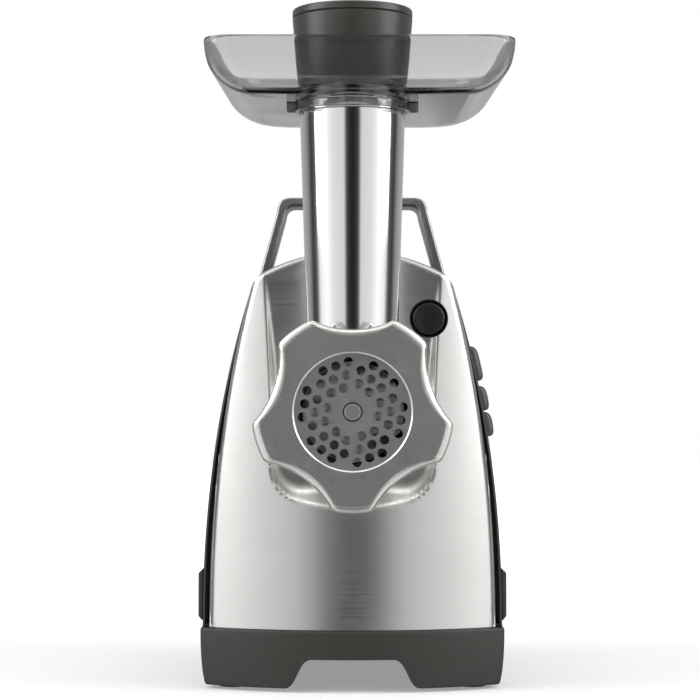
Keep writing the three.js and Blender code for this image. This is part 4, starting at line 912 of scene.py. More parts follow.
@dataclass
class Base:
    """The moulded base with its front arch, and the four rubber feet."""

    half: float = 81.4
    nose: float = 81.0
    radius: float = 144.0
    corner: float = 18.0
    thickness: float = 2.8
    arch_half_foot: float = 36.0
    arch_half_top: float = 21.5
    arch_height: float = 17.6
    boss_radius: float = 8.6

    def outline(self, inset: float) -> list[Point]:
        """Return the footprint in x and y, drawn in by inset."""
        half, radius, corner = self.half - inset, self.radius - inset, self.corner - inset
        centre = at(self.nose + self.radius)
        back = span("base_pan")[1].y - inset
        spread = math.degrees(math.asin(half / radius))
        steps = 48
        points = []
        for i in range(steps + 1):
            x, y = polar(radius, -90 + mix(-spread, spread, i / steps))
            points.append((x, centre + y))
        for side, start in ((1, 0), (-1, 90)):
            for i in range(13):
                x, y = polar(corner, start + 90 * i / 12)
                points.append((side * (half - corner) + x, back - corner + y))
        return points

    def build(self, finisher: Finisher) -> None:
        """Build the pan with its drawn-in foot and cut the arch through its front."""
        low, high = span("base_pan")
        foot, top = low.z, high.z
        levels = [(foot, 3.3), (foot + 0.5, 2.7), (foot + 2, 2.1), (foot + 7, 1.2), (foot + 14, 0.5)]
        levels += [(foot + 22, 0.1), (top - 1.6, 0.0), (top - 0.7, 0.15), (top - 0.2, 0.6), (top, 1.3)]
        loops = [[Vector((x, y, z)) for x, y in self.outline(inset)] for z, inset in levels]
        form = Form().loft(loops, end=True)
        bmesh.ops.recalc_face_normals(form.mesh, faces=form.mesh.faces)
        pan = spare_object(form)
        wall(pan, self.thickness)
        bend = self.arch_half_foot - 7
        arch = []
        for side in (1, -1):
            curve = [(self.arch_half_foot, foot - 3)]
            for i in range(21):
                t = i / 20
                weights = ((1 - t) ** 3, 3 * t * (1 - t) ** 2, 3 * t * t * (1 - t), t**3)
                xs = (self.arch_half_foot, bend, bend, self.arch_half_top)
                zs = (foot, foot, self.arch_height, self.arch_height)
                curve.append(tuple(sum(w * a for w, a in zip(weights, ways)) for ways in (xs, zs)))
            arch += [(side * x, z) for x, z in (curve if side > 0 else reversed(curve))]
        tools = [(Cut.TAKE_AWAY, slab(arch, self.nose - 6, self.nose + 22))]
        for node in ("foot_front_left", "foot_front_right", "foot_rear_left", "foot_rear_right"):
            x, y, _ = middle_of(node)
            place = Vector((x, y, 0))
            boss = [(0, foot + 1), (self.boss_radius, foot + 1), (self.boss_radius, top - 2), (0, top - 2)]
            tools.append((Cut.JOIN, Form().turn(boss, place, UP, 48)))
            pad = [(0, 0), (6.9, 0), (7.7, 0.35), (8, 1.0), (8, 2.7), (3, 2.7), (0, 2.7)]
            rubber = Form().turn(pad, place, UP, 56)
            finisher.piece(rubber, node.replace("foot", "rubber_foot"), "rubber", "housing", node)
        combine(pan, tools)
        finisher.piece(pan, "base", "dark_plastic", "housing", "base_pan", crease=35)


@dataclass
class CarryHandle:
    """The flat metal band that arches over the housing."""

    corner: float = 8.0
    band: float = 4.7
    slope: float = 0.2737
    edge: float = 1.15

    def side(self, inset: float) -> list[Point]:
        """Return half of the band's line in x and z, from its foot to its middle, drawn in by inset."""
        low, high = span("carry_handle")
        top = high.z - inset
        half_top = high.x - self.slope * (high.z - self.corner - low.z)
        corner = self.corner - inset / 2
        half = half_top - inset
        foot = low.z - 2
        start = (half + self.slope * (top - corner - foot), foot)
        bend = (half, top - corner)
        straight = [(mix(start[0], bend[0], i / 8), mix(start[1], bend[1], i / 8)) for i in range(8)]
        end = (half - corner, top)
        return straight + bow(bend, (half - self.slope, top), end, 12) + [end]

    def build(self, finisher: Finisher, body: Body) -> None:
        """Build the band, trim its ends to the housing and round its edges."""
        front, back = extent("carry_handle")
        outer, inner = self.side(0.0), self.side(self.band)
        line = outer + [(-x, z) for x, z in reversed(outer)] + [(-x, z) for x, z in inner] + inner[::-1]
        band = spare_object(slab(line, front, back).round_edges(self.edge, 4, 50))
        seat = slab(body.outline(body.half_foot, -0.3), front - 2, back + 2)
        combine(band, [(Cut.TAKE_AWAY, seat)])
        finisher.piece(band, "handle_band", "handle_metal", "housing", "carry_handle", crease=28)


# ---------------------------------------------------------------- dock and buttons
@dataclass
class Dock:
    """The bayonet socket in the steel front, its lugs and the release button."""

    radius: float = 38.5
    bore: float = 35.2
    lug_bore: float = 30.0
    lug_length: float = 3.0

    def socket(self, finisher: Finisher) -> None:
        """Build the socket ring with its floor and lugs."""
        front, back = extent("dock_socket")
        edge = 0.8
        rim = [(self.bore, front + edge), (self.bore + edge, front), (self.radius - edge, front)]
        rim += [(self.radius, front + edge), (self.radius, back), (13.0, back), (13.0, back - 3)]
        rim += [(self.bore, back - 3), (self.bore, front + edge)]
        socket = spare_object(Form().turn(rim, DRIVE_AXIS, INWARD))
        radii = (self.bore + 1, self.lug_bore)
        tools = [(Cut.JOIN, lug(radii, middle, front + 0.1, front + self.lug_length)) for middle in LUG_MIDDLES]
        x, _, z = middle_of("latch_pin")
        tools.append((Cut.TAKE_AWAY, rod(2.5, back - 4, back + 1, x, z, 32)))
        combine(socket, tools)
        finisher.piece(socket, "bayonet_socket", "black_plastic", "housing", "dock_socket")

    def release(self, finisher: Finisher) -> None:
        """Build the round button with a shallow dish, its recessed collar and the padlock mark below it."""
        radius = radius_of("release_button")
        x, _, z = middle_of("release_button")
        centre = Vector((x, at(0), z))
        front, back = extent("release_button")
        dish = 0.55
        face = [(0, front + dish), (radius * 0.4, front + dish * 0.85), (radius * 0.7, front + dish * 0.45)]
        face += [(radius - 2.0, front + 0.08), (radius - 1.4, front), (radius - 0.7, front + 0.22)]
        face += [(radius - 0.2, front + 0.8), (radius, front + 1.6), (radius, front + 13), (2.2, front + 13)]
        face += [(2.2, back), (0, back)]
        cap = Form().turn(face, centre, INWARD, 80)
        finisher.piece(cap, "release_cap", "black_plastic", "release", "release_button")
        inner = radius + 0.75
        outer = radius + 1.55
        start, end = front + 1.3, front + 7
        collar = Form().turn([(inner, start), (outer, start), (outer, end), (inner, end), (inner, start)],
                             centre, INWARD, 80)
        finisher.piece(collar, "release_collar", "black_plastic", "housing")
        self.padlock(finisher, x - 0.9, z - 20.4, front + 1.0)

    @staticmethod
    def padlock(finisher: Finisher, x: float, z: float, floor: float) -> None:
        """Build a plain padlock mark, a body and a shackle, standing a little proud of the steel.

        Args:
            finisher: Dresses the piece.
            x: Its middle across.
            z: Its middle up.
            floor: Depth of the face it stands on.
        """
        half, proud = 2.5, 0.16
        mark = block((x - half, at(floor) - proud, z - 2.6), (x + half, at(floor) + 0.3, z + 1.2))
        mark.round_edges(0.12, 2)
        bend, foot, crown = 1.25, z + 1.1, z + 2.3
        arch = [polar(bend, angle) for angle in range(15, 180, 15)]
        line = [(bend, foot), (bend, crown)] + [(px, crown + pz) for px, pz in arch]
        line += [(-bend, crown), (-bend, foot)]
        wide = [(x + px * 1.5, pz + (0.4 if pz > crown else 0.0)) for px, pz in line]
        narrow = [(x + px * 0.9, pz - (0.1 if pz > crown else 0.0)) for px, pz in line]
        mark.add(slab(wide + narrow[::-1], floor - proud, floor + 0.3))
        mark.mesh.normal_update()
        finisher.piece(mark, "padlock_mark", "cast_aluminium", "housing")

    @staticmethod
    def key(node: str) -> Form:
        """Return a pillow-shaped key that follows the slope of the housing's wall, with its stem.

        Args:
            node: The CAD node whose place it takes.
        """
        low, high = span(node)
        wall_line = Body()
        middle = Vector((0.0, (low.y + high.y) / 2, (low.z + high.z) / 2))
        loops = []
        for proud, inset in ((-7, 0), (0.8, 0), (2.2, 0.25), (3.2, 0.8), (3.9, 1.7), (4.3, 2.9), (4.5, 4.4)):
            half_y, half_z = (high.y - low.y) / 2 - inset, (high.z - low.z) / 2 - inset
            corner = max(3.2 - inset * 0.4, 1.2)
            loop = []
            for quarter, (sy, sz) in enumerate(((1, 1), (-1, 1), (-1, -1), (1, -1))):
                for k in range(7):
                    across, up = polar(corner, 90 * quarter + 15 * k)
                    y = middle.y + sy * (half_y - corner) + across
                    z = middle.z + sz * (half_z - corner) + up
                    loop.append(Vector((wall_line.half(z, wall_line.half_foot) + proud, y, z)))
            loops.append(loop)
        form = Form().loft(loops, start=True, end=True).clean()
        stem_end = wall_line.half(low.z, wall_line.half_foot) - 6
        return form.add(block((low.x, middle.y - 9, low.z + 1), (stem_end, middle.y + 9, high.z - 1)))

    def side_buttons(self, finisher: Finisher) -> None:
        """Build the three side buttons."""
        for body in ("power", "forward", "reverse"):
            node = f"{body}_button"
            finisher.piece(self.key(node), f"{body}_key", "button_plastic", body, node)

    def build(self, finisher: Finisher) -> None:
        """Build the dock and every button."""
        self.socket(finisher)
        self.release(finisher)
        self.side_buttons(finisher)
        for spring in SPRINGS:
            spring.build(finisher)


@dataclass(frozen=True)
class Spring:
    """A coil spring behind a button."""

    node: str
    joint: str
    along: int
    fixed_high: bool
    travel: float
    turns: int
    wire: float

    def build(self, finisher: Finisher) -> None:
        """Wind the spring."""
        low, high = span(self.node)
        across = (self.along + 2) % 3
        radius = (high[across] - low[across]) / 2 - self.wire
        middle = (low + high) / 2
        axis = Vector([1.0 if i == self.along else 0.0 for i in range(3)])
        side = Vector([1.0 if i == across else 0.0 for i in range(3)])
        other = axis.cross(side)
        length = high[self.along] - low[self.along]
        start = middle - axis * (length / 2 - self.wire)
        steps = self.turns * 28
        loops = []
        for k in range(steps + 1):
            angle = math.tau * self.turns * k / steps
            outward = side * math.cos(angle) + other * math.sin(angle)
            place = start + outward * radius + axis * ((length - 2 * self.wire) * k / steps)
            ring = (polar(self.wire, 36 * i) for i in range(10))
            loops.append([place + outward * a + axis * b for a, b in ring])
        coil = Form().loft(loops, start=True, end=True).clean()
        made = finisher.piece(coil, f"{self.joint}_coil", "spring_steel", "housing", self.node, crease=50)
        anchor = middle.copy()
        anchor[self.along] = high[self.along] if self.fixed_high else low[self.along]
        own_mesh(made)


SPRINGS = (
    Spring("release_spring", "release_press", 1, True, 3.0, 5, 0.5),
    Spring("power_spring", "power_press", 0, False, 2.5, 4, 0.4),
    Spring("forward_spring", "forward_press", 0, False, 2.5, 4, 0.4),
    Spring("reverse_spring", "reverse_press", 0, False, 2.5, 4, 0.4),
)


# ---------------------------------------------------------------- grinding head
@dataclass
class Head:
    """The cast barrel with its neck, and the polished feed tube."""

    bore: float = 26.2
    outer: float = 29.5
    flange: float = 36.7
    plate_seat: float = 31.3
    neck: float = 27.1
    neck_bore: float = 20.9
    tube_socket: float = 23.8
    tube_foot_radius: float = 23.2
    tube_wall: float = 1.8

    def barrel(self, finisher: Finisher) -> None:
        """Build the barrel, its lugs with the latch notch, and the neck that holds the tube."""
        front, back = extent("head_barrel")
        rim = front + 17
        seat = front + 4.6
        profile = [(self.plate_seat, front + 0.4), (self.plate_seat + 0.4, front), (self.flange - 0.8, front)]
        for i in range(5):
            start = front + 1 + THREAD_PITCH * i
            profile += [(self.flange, start + 0.5), (self.flange, start + 1.2), (self.flange - 0.9, start + 1.7),
                        (self.flange - 0.9, start + 2.3)]
        profile += [(self.flange - 0.2, rim - 0.9), (self.flange - 0.6, rim - 0.2), (self.flange - 1.4, rim)]
        profile += bow((self.outer + 3.5, rim), (self.outer, rim), (self.outer, rim + 3.5), 6)
        profile += [(self.outer, rim + 3.5), (self.outer, back), (12, back), (12, back - 4), (self.bore, back - 4)]
        profile += [(self.bore, seat + 8), (self.bore + 1.6, seat + 5), (self.bore + 1.6, seat)]
        profile += [(self.plate_seat, seat), (self.plate_seat, front + 0.4)]
        barrel = spare_object(Form().turn(profile, DRIVE_AXIS, INWARD))
        neck_top, tube_seat = span("head_barrel")[1].z, span("feed_tube")[0].z - 0.3
        neck = [(0, AXIS_Z + 12), (self.neck, AXIS_Z + 12), (self.neck, neck_top - 1.2)]
        neck += bow((self.neck, neck_top - 1.2), (self.neck, neck_top), (self.neck - 1.2, neck_top), 5)
        neck += [(self.neck - 1.2, neck_top), (0, neck_top)]
        room = [(0, AXIS_Z + 5), (self.neck_bore, AXIS_Z + 5), (self.neck_bore, tube_seat)]
        room += [(self.tube_socket, tube_seat), (self.tube_socket, neck_top + 2), (0, neck_top + 2)]
        tools = [(Cut.JOIN, Form().turn(neck, TUBE_FOOT, UP)),
                 (Cut.TAKE_AWAY, Form().turn(room, TUBE_FOOT, UP)),
                 (Cut.TAKE_AWAY, rod(self.bore, seat + 0.2, back - 4, steps=96))]
        radii = (self.outer + 4.9, self.outer - 1)
        tools += [(Cut.JOIN, lug(radii, middle, back - 4, back - 0.05)) for middle in LUG_MIDDLES]
        tools.append((Cut.TAKE_AWAY, self.notch(back)))
        combine(barrel, tools)
        finisher.piece(barrel, "barrel_casting", "cast_aluminium", "head", "head_barrel")

    def notch(self, back: float) -> Form:
        """Return the latch pin's notch with its ramp, cut from the back of one lug."""
        x, _, z = middle_of("latch_pin")
        turn = math.atan2(z - AXIS_Z, x)
        loops = []
        for radius in (self.outer - 0.4, self.outer + 7):
            loop = []
            for across, deep in ((3.1, 0.6), (3.1, -2.6), (-3.1, -2.6), (-14.4, 0.6)):
                place = Vector((radius * math.cos(turn), 0, radius * math.sin(turn)))
                place += Vector((-math.sin(turn), 0, math.cos(turn))) * across
                loop.append(Vector((place.x, at(back + deep), AXIS_Z + place.z)))
            loops.append(loop)
        return Form().loft(loops, start=True, end=True).clean()

    def tube(self, finisher: Finisher) -> None:
        """Build the feed tube with rounded lips."""
        low, high = span("feed_tube")
        foot, top = low.z, high.z
        outer_foot, outer_top = self.tube_foot_radius, radius_of("feed_tube")
        wall_thickness = self.tube_wall
        profile = [(outer_foot - wall_thickness, foot + 0.4), (outer_foot - 0.6, foot), (outer_foot, foot + 0.6)]
        steps = 12
        for i in range(1, steps):
            profile.append((mix(outer_foot, outer_top, i / steps), mix(foot, top, i / steps)))
        profile += [(outer_top, top - 0.7), (outer_top - 0.3, top - 0.15), (outer_top - wall_thickness / 2, top)]
        profile += [(outer_top - wall_thickness + 0.3, top - 0.15), (outer_top - wall_thickness, top - 0.7)]
        profile.append(profile[0])
        form = Form().turn(profile, TUBE_FOOT, UP, 144)
        finisher.piece(form, "throat_tube", "polished_steel", "head", "feed_tube")

    def build(self, finisher: Finisher) -> None:
        """Build the barrel and the tube."""
        self.barrel(finisher)
        self.tube(finisher)


@dataclass
class RingNut:
    """The cast nut with five broad lobes that holds the plate."""

    lobes: int = 5
    lobe_radius: float = 49.8
    scallop: float = 40.6
    half_face: float = 11.5
    opening: float = 28.9
    thread: float = 37.0
    lip: float = 3.0
    edge: float = 2.5

    def outline(self) -> list[Point]:
        """Return the lobed outline in x and z, with a soft bend where lobe and scallop meet."""
        pitch = 360 / self.lobes
        points = []
        for i in range(self.lobes):
            middle = 270 + pitch * i
            valley = 2 * self.scallop - self.lobe_radius * math.cos(math.radians(pitch / 2 - self.half_face))
            ends = [polar(self.lobe_radius, middle + side * self.half_face) for side in (-1, 1)]
            following = polar(self.lobe_radius, middle + pitch - self.half_face)
            for k in range(24):
                points.append(polar(self.lobe_radius, middle - self.half_face + 2 * self.half_face * k / 24))
            points += bow(ends[1], polar(valley, middle + pitch / 2), following, 60)
        smooth = []
        for i in range(len(points)):
            near = [points[(i + k) % len(points)] for k in (-2, -1, 0, 1, 2)]
            smooth.append((sum(p[0] for p in near) / 5, AXIS_Z + sum(p[1] for p in near) / 5))
        return smooth

    def build(self, finisher: Finisher) -> None:
        """Build the nut, round its outer edges and bore it."""
        front, back = extent("ring_nut")
        outline = self.outline()
        rim = [(0.0, 4.1), (0.45, 3.8), (0.5, 3.5), (0.15, 3.1), (0.35, 2.3), (0.9, 1.3), (1.7, 0.5), (2.9, 0.0)]
        places = [(front + depth, inset) for depth, inset in rim]
        for i in range(7):
            across, fall = polar(self.edge, 90 * i / 6)
            places.append((back - self.edge + fall, self.edge - across))
        loops = []
        for depth, inset in places:
            loop = []
            for x, z in outline:
                reach = math.hypot(x, z - AXIS_Z)
                share = (reach - inset) / reach
                loop.append(Vector((x * share, at(depth), AXIS_Z + (z - AXIS_Z) * share)))
            loops.append(loop)
        nut = spare_object(Form().loft(loops, start=True, end=True).clean())
        bore = [(0, front - 1), (self.opening + 1.7, front - 1), (self.opening, front + 0.7)]
        bore += [(self.opening, front + self.lip), (self.thread, front + self.lip)]
        for i in range(7):
            start = front + self.lip + 0.8 + THREAD_PITCH * i
            bore += [(self.thread, start), (self.thread + 0.8, start + 0.7), (self.thread + 0.8, start + 1.3),
                     (self.thread, start + 2.0)]
        bore += [(self.thread, back + 1), (0, back + 1)]
        combine(nut, [(Cut.TAKE_AWAY, Form().turn(bore, DRIVE_AXIS, INWARD, 128))])
        finisher.piece(nut, "locking_ring", "cast_aluminium", "nut", "ring_nut", crease=22)


@dataclass
class PlateAndAuger:
    """The hole plate and the screw that turns behind it."""

    hole: float = 2.35
    pitch: float = 6.6
    rows: tuple[int, ...] = (3, 3, 2)
    first_hole: float = 24.8
    first_angle: float = 94.9
    centre_hole: float = 4.9
    pin: float = 4.3
    core_front: float = 15.0
    core_back: float = 11.0
    screw_pitch: float = 27.0
    flight_foot: float = 0.72
    flight_flank: float = 0.2
    tip: float = 25.5

    def plate(self, finisher: Finisher) -> None:
        """Build the plate with its chamfered rim and drill its holes."""
        front, back = extent("cutting_plate")
        radius, edge = radius_of("cutting_plate"), 0.5
        profile = [(0, front), (radius - edge, front), (radius, front + edge)]
        profile += [(radius, back - edge), (radius - edge, back), (0, back)]
        plate = spare_object(Form().turn(profile, DRIVE_AXIS, INWARD, 128))
        drills = Form()
        start = polar(self.first_hole, self.first_angle)
        for sector in range(0, 360, 60):
            for row, count in enumerate(self.rows):
                for i in range(count):
                    along, down = polar(self.pitch * i, 200), polar(self.pitch * row, 260)
                    place = Vector((start[0] + along[0] + down[0], 0, start[1] + along[1] + down[1]))
                    place.rotate(Matrix.Rotation(math.radians(-sector), 3, "Y"))
                    drills.add(rod(self.hole, front - 1, back + 1, place.x, AXIS_Z + place.z, 20))
        drills.add(rod(self.centre_hole, front - 1, back + 1, steps=48))
        combine(plate, [(Cut.TAKE_AWAY, drills)])
        finisher.piece(plate, "hole_plate", "ground_steel", "plate", "cutting_plate")

    def auger(self, finisher: Finisher) -> None:
        """Build the screw with one flight, its pin and its square."""
        knife_back = extent("knife")[1]
        front, back = knife_back + 0.3, extent("auger_washer")[0] - 0.3
        steps, around = 110, 64
        loops = []
        for k in range(steps + 1):
            share = k / steps
            core = mix(self.core_front, self.core_back, share)
            loop = []
            for i in range(around):
                angle = math.tau * i / around
                rise = min(max((math.cos(angle) - self.flight_foot) / self.flight_flank, 0.0), 1.0)
                flight = rise * rise * (3 - 2 * rise)
                turn = angle + math.tau * (back - front) * share / self.screw_pitch
                radius = mix(core, self.tip, flight)
                x, z = radius * math.cos(turn), AXIS_Z + radius * math.sin(turn)
                loop.append(Vector((x, at(mix(front, back, share)), z)))
            loops.append(loop)
        screw = spare_object(Form().loft(loops, start=True, end=True).clean())
        tip, tail = extent("auger")
        pin = [(0, tip), (self.pin - 0.6, tip), (self.pin, tip + 0.6), (self.pin, front + 1), (0, front + 1)]
        tools = [(Cut.JOIN, Form().turn(pin, DRIVE_AXIS, INWARD, 64)),
                 (Cut.JOIN, block((-5, at(knife_back - 2.7), AXIS_Z - 5), (5, at(front + 1), AXIS_Z + 5))),
                 (Cut.JOIN, rod(3.5, back - 1, tail, steps=32))]
        combine(screw, tools)
        finisher.piece(screw, "feed_screw", "cast_aluminium", "drive", "auger", crease=45)

    def build(self, finisher: Finisher) -> None:
        """Build the plate and the screw."""
        self.plate(finisher)
        self.auger(finisher)


# ---------------------------------------------------------------- hopper tray and pusher
@dataclass
class HopperTray:
    """The clear smoked tray with its collar over the tube."""

    half: float = 78.0
    narrowing: float = 4.0
    length: float = 174.0
    flare: float = 9.0
    thickness: float = 2.6
    shift: float = 3.5
    near_corner: float = 16.0
    far_corner: float = 38.0
    mouth: float = 25.55
    tube_radius: float = 27.85

    def loop(self, inset: float, z: float, floor: float, rim: float) -> Loop:
        """Return the tray's outline at a height.

        Args:
            inset: How far it is drawn in from the outer face.
            z: The height.
            floor: Height of the floor's underside.
            rim: Height of the rim.
        """
        low, high = span("hopper_tray")
        middle = (low.y + high.y) / 2
        front, half_length = self.half - inset, self.length / 2 - inset
        back = front - self.narrowing
        near, far = self.near_corner - inset, self.far_corner - inset
        right = bow((front - near, -half_length), (front, -half_length), (front, near - half_length), 12)
        edge_steps = 10
        for i in range(edge_steps):
            share = i / edge_steps
            right.append((mix(front, back, share), mix(near - half_length, half_length - far, share)))
        right += bow((back, half_length - far), (back, half_length), (back - far, half_length), 20)
        right.append((back - far, half_length))
        drawn = self.flare * (1 - (z - floor) / (rim - floor)) ** 2
        across, along = 1 - drawn / self.half, 1 - drawn / (self.length / 2)
        line = right + [(-x, y) for x, y in reversed(right)]
        return [Vector((x * across + self.shift, y * along + middle, z)) for x, y in line]

    def build(self, finisher: Finisher) -> None:
        """Build the basin with rounded bends, then its collar, tabs, lip and mouth."""
        low, high = span("hopper_tray")
        floor, rim = span("feed_tube")[1].z + 0.3, high.z
        inner_floor = floor + self.thickness
        bend, inner_bend = 15.0, 15.0 - self.thickness
        outside = [(bend - across, floor + bend - fall)
                   for fall, across in (polar(bend, 7.5 * i) for i in range(13))]
        outside += [(0.0, mix(floor + bend, rim - 2.6, i / 3)) for i in range(1, 4)]
        outside += [(0.0, rim - 0.9), (0.25, rim - 0.25), (0.9, rim), (1.7, rim), (2.35, rim - 0.25)]
        wall_in = self.thickness
        inside = [(wall_in, rim - 0.9)]
        inside += [(wall_in, mix(rim - 2.6, inner_floor + inner_bend, i / 3)) for i in range(3)]
        inside += [(bend - across, inner_floor + inner_bend - fall)
                   for fall, across in (polar(inner_bend, 90.0 - 7.5 * i) for i in range(13))]
        loops = [self.loop(inset, z, floor, rim) for inset, z in outside + inside]
        tray = spare_object(Form().loft(loops, start=True, end=True).clean())
        collar_foot = low.z
        outer = self.tube_radius + 2.2
        collar = [(0, collar_foot), (outer - 0.5, collar_foot), (outer, collar_foot + 0.5), (outer, floor + 0.6)]
        collar += [(outer + 1.2, floor + 1.0), (0, floor + 1.0)]
        lip = [(0, inner_floor - 1), (self.mouth + 3.4, inner_floor - 1), (self.mouth + 3.2, inner_floor + 0.2)]
        lip += [(self.mouth + 2.4, inner_floor + 0.8), (self.mouth + 2.3, inner_floor + 1.5)]
        lip += [(self.mouth + 1.7, inner_floor + 1.8), (0, inner_floor + 1.8)]
        tools = [(Cut.JOIN, Form().turn(profile, TUBE_FOOT, UP)) for profile in (collar, lip)]
        for side in (-1, 1):
            inner_x, outer_x = sorted((side * (outer - 1), side * (outer + 3.9)))
            tab = block((inner_x, at(TUBE_DEPTH - 4), collar_foot), (outer_x, at(TUBE_DEPTH + 4), floor + 1))
            tools.append((Cut.JOIN, tab.round_edges(0.5, 2)))
        socket = [(0, collar_foot - 1), (self.tube_radius, collar_foot - 1), (self.tube_radius, floor)]
        socket += [(self.mouth, floor), (self.mouth, inner_floor + 3), (0, inner_floor + 3)]
        tools.append((Cut.TAKE_AWAY, Form().turn(socket, TUBE_FOOT, UP)))
        combine(tray, tools)
        finisher.piece(tray, "tray_basin", "smoked_plastic", "tray", "hopper_tray")


@dataclass
class Pusher:
    """The hollow pusher with its cap."""

    wall_thickness: float = 2.6
    seat_below_rim: float = 21.8

    def build(self, finisher: Finisher) -> None:
        """Build the pusher's stem and flared head, and the cap with its rounded rim."""
        low, high = span("pusher")
        cap_low, cap_high = span("pusher_cap")
        top_radius = radius_of("pusher")
        seat = span("hopper_tray")[1].z - self.seat_below_rim
        stem_foot, stem_top, seat_radius = 20.7, 24.65, 27.8
        thick = self.wall_thickness
        profile = [(0, low.z), (stem_foot - 1.2, low.z), (stem_foot, low.z + 1.2)]
        profile += [(mix(stem_foot, stem_top, i / 6), mix(low.z + 1.2, seat - 0.8, i / 6))
                    for i in range(1, 7)]
        profile += bow((stem_top, seat - 0.8), (stem_top, seat), (stem_top + 0.8, seat), 4)
        profile += bow((seat_radius - 1.6, seat), (seat_radius, seat), (seat_radius + 0.12, seat + 1.6), 6)
        profile += [(mix(seat_radius + 0.12, top_radius, i / 8), mix(seat + 1.6, high.z - 0.5, i / 8))
                    for i in range(9)]
        profile += [(top_radius - 0.5, high.z), (top_radius - thick, high.z)]
        profile += [(seat_radius - thick, seat + thick + 1), (stem_top - thick, seat + thick), (stem_foot - thick, low.z + thick), (0, low.z + thick)]
        body = Form().turn(profile, TUBE_FOOT, UP, 144)
        finisher.piece(body, "pusher_body", "pusher_plastic", "plunger", "pusher")
        top, lid = cap_high.z, high.z + 0.3
        plug = top_radius - thick - 1.0
        cap = [(0, cap_low.z), (plug, cap_low.z), (plug, lid), (top_radius - 0.4, lid), (top_radius, lid + 0.4)]
        cap += bow((top_radius, top - 1.5), (top_radius, top), (top_radius - 1.5, top), 7)
        cap += [(top_radius - 1.5, top), (top_radius - 4, top - 0.02), (top_radius - 4.4, top - 0.5)]
        cap += [(top_radius - 6, top - 0.6), (top_radius - 12, top - 0.75), (0, top - 0.8)]
        cap_form = Form().turn(cap, TUBE_FOOT, UP, 144)
        finisher.piece(cap_form, "pusher_lid", "pusher_plastic", "plunger", "pusher_cap")


@dataclass
class Gland:
    """The rubber gland where the cord would leave the rear cover."""

    def build(self, finisher: Finisher) -> None:
        """Build the gland with its flexing ribs."""
        front, back = extent("cord_gland")
        x, _, z = middle_of("cord_gland")
        radius = radius_of("cord_gland")
        profile = [(3.6, front), (radius - 0.4, front), (radius, front + 0.4), (radius, back - 2.2)]
        profile += [(radius - 0.6, back - 1.9), (radius - 0.6, back - 1.4), (radius - 0.1, back - 1.0)]
        profile += [(radius - 0.9, back), (4.2, back), (3.6, back - 0.6), (3.6, front)]
        gland = Form().turn(profile, Vector((x, at(0), z)), INWARD, 64)
        finisher.piece(gland, "gland", "rubber", "housing", "cord_gland")


# ---------------------------------------------------------------- finishes and studio
FINISHES: tuple[Metal | Plastic | ClearPlastic, ...] = (
    Metal("steel_front", (0.64, 0.64, 0.625), 0.32, Grain.ACROSS, 0.000014, 0.14, 0.08),
    Metal("handle_metal", (0.33, 0.33, 0.315), 0.34, Grain.ACROSS, 0.00001, 0.10, 0.05),
    Metal("polished_steel", (0.80, 0.80, 0.79), 0.09, Grain.UPRIGHT, 0.000004, 0.05, 0.02),
    Metal("cast_aluminium", (0.68, 0.68, 0.66), 0.36, Grain.NONE, 0.00006, 0.08, 0.05),
    Metal("ground_steel", (0.70, 0.70, 0.69), 0.36, Grain.ACROSS, 0.00001, 0.12, 0.06),
    Metal("machined_steel", (0.50, 0.50, 0.50), 0.28, Grain.ALONG_DEPTH, 0.000008, 0.10, 0.06),
    Metal("spring_steel", (0.45, 0.45, 0.45), 0.25, Grain.ALONG_DEPTH, 0.000004, 0.06, 0.05),
    Metal("motor_steel", (0.30, 0.30, 0.31), 0.42, Grain.ALONG_DEPTH, 0.00003, 0.10, 0.12),
    Metal("bronze", (0.60, 0.40, 0.20), 0.38, Grain.NONE, 0.00003, 0.10, 0.10),
    Plastic("dark_plastic", (0.026, 0.026, 0.022), 0.52, 0.0006, 0.00005, 0.10, 0.4),
    Plastic("pusher_plastic", (0.034, 0.034, 0.029), 0.36, 0.0005, 0.00003, 0.10, 0.45),
    Plastic("black_plastic", (0.010, 0.010, 0.0085), 0.36, 0.0004, 0.00001, 0.05, 0.35),
    Plastic("button_plastic", (0.045, 0.045, 0.041), 0.40, 0.0004, 0.00002, 0.10),
    Plastic("grey_plastic", (0.12, 0.12, 0.11), 0.50, 0.0005, 0.00003, 0.15),
    Plastic("rubber", (0.02, 0.02, 0.02), 0.85, 0.0006, 0.00006, 0.20, 0.3),
    Plastic("nylon", (0.75, 0.72, 0.62), 0.45, 0.0006, 0.00002, 0.10),
    Plastic("circuit_board", (0.05, 0.18, 0.09), 0.35, 0.0008, 0.00003, 0.10),
    Plastic("carbon", (0.03, 0.03, 0.03), 0.70, 0.0003, 0.00004, 0.20),
    ClearPlastic("smoked_plastic", (0.90, 0.90, 0.89), 0.04),
)


def dress_cad_nodes(finishes: dict[str, bpy.types.Material]) -> None:
    """Give every CAD node the finish of its slot in the record.

    Args:
        finishes: The material of each slot.
    """
    for entry in frame["record"]["subparts"]:
        node = frame["nodes"][entry["node"]]
        for place in node.material_slots:
            place.material = finishes[entry["material_slot"]]
        log.info("%s: %s", entry["node"], entry["material_slot"])


@dataclass(frozen=True)
class SoftLight:
    """A rectangular studio light aimed at a point."""

    name: str
    place: tuple[float, float, float]
    aim: tuple[float, float, float]
    size: tuple[float, float]
    power: float

    def build(self) -> None:
        """Create the light."""
        lamp = bpy.data.lights.new(self.name, "AREA")
        lamp.shape = "RECTANGLE"
        lamp.size, lamp.size_y = self.size
        lamp.energy = self.power
        made = bpy.data.objects.new(self.name, lamp)
        made.location = self.place
        made.rotation_euler = (Vector(self.aim) - Vector(self.place)).to_track_quat("-Z", "Y").to_euler()
        bpy.context.scene.collection.objects.link(made)


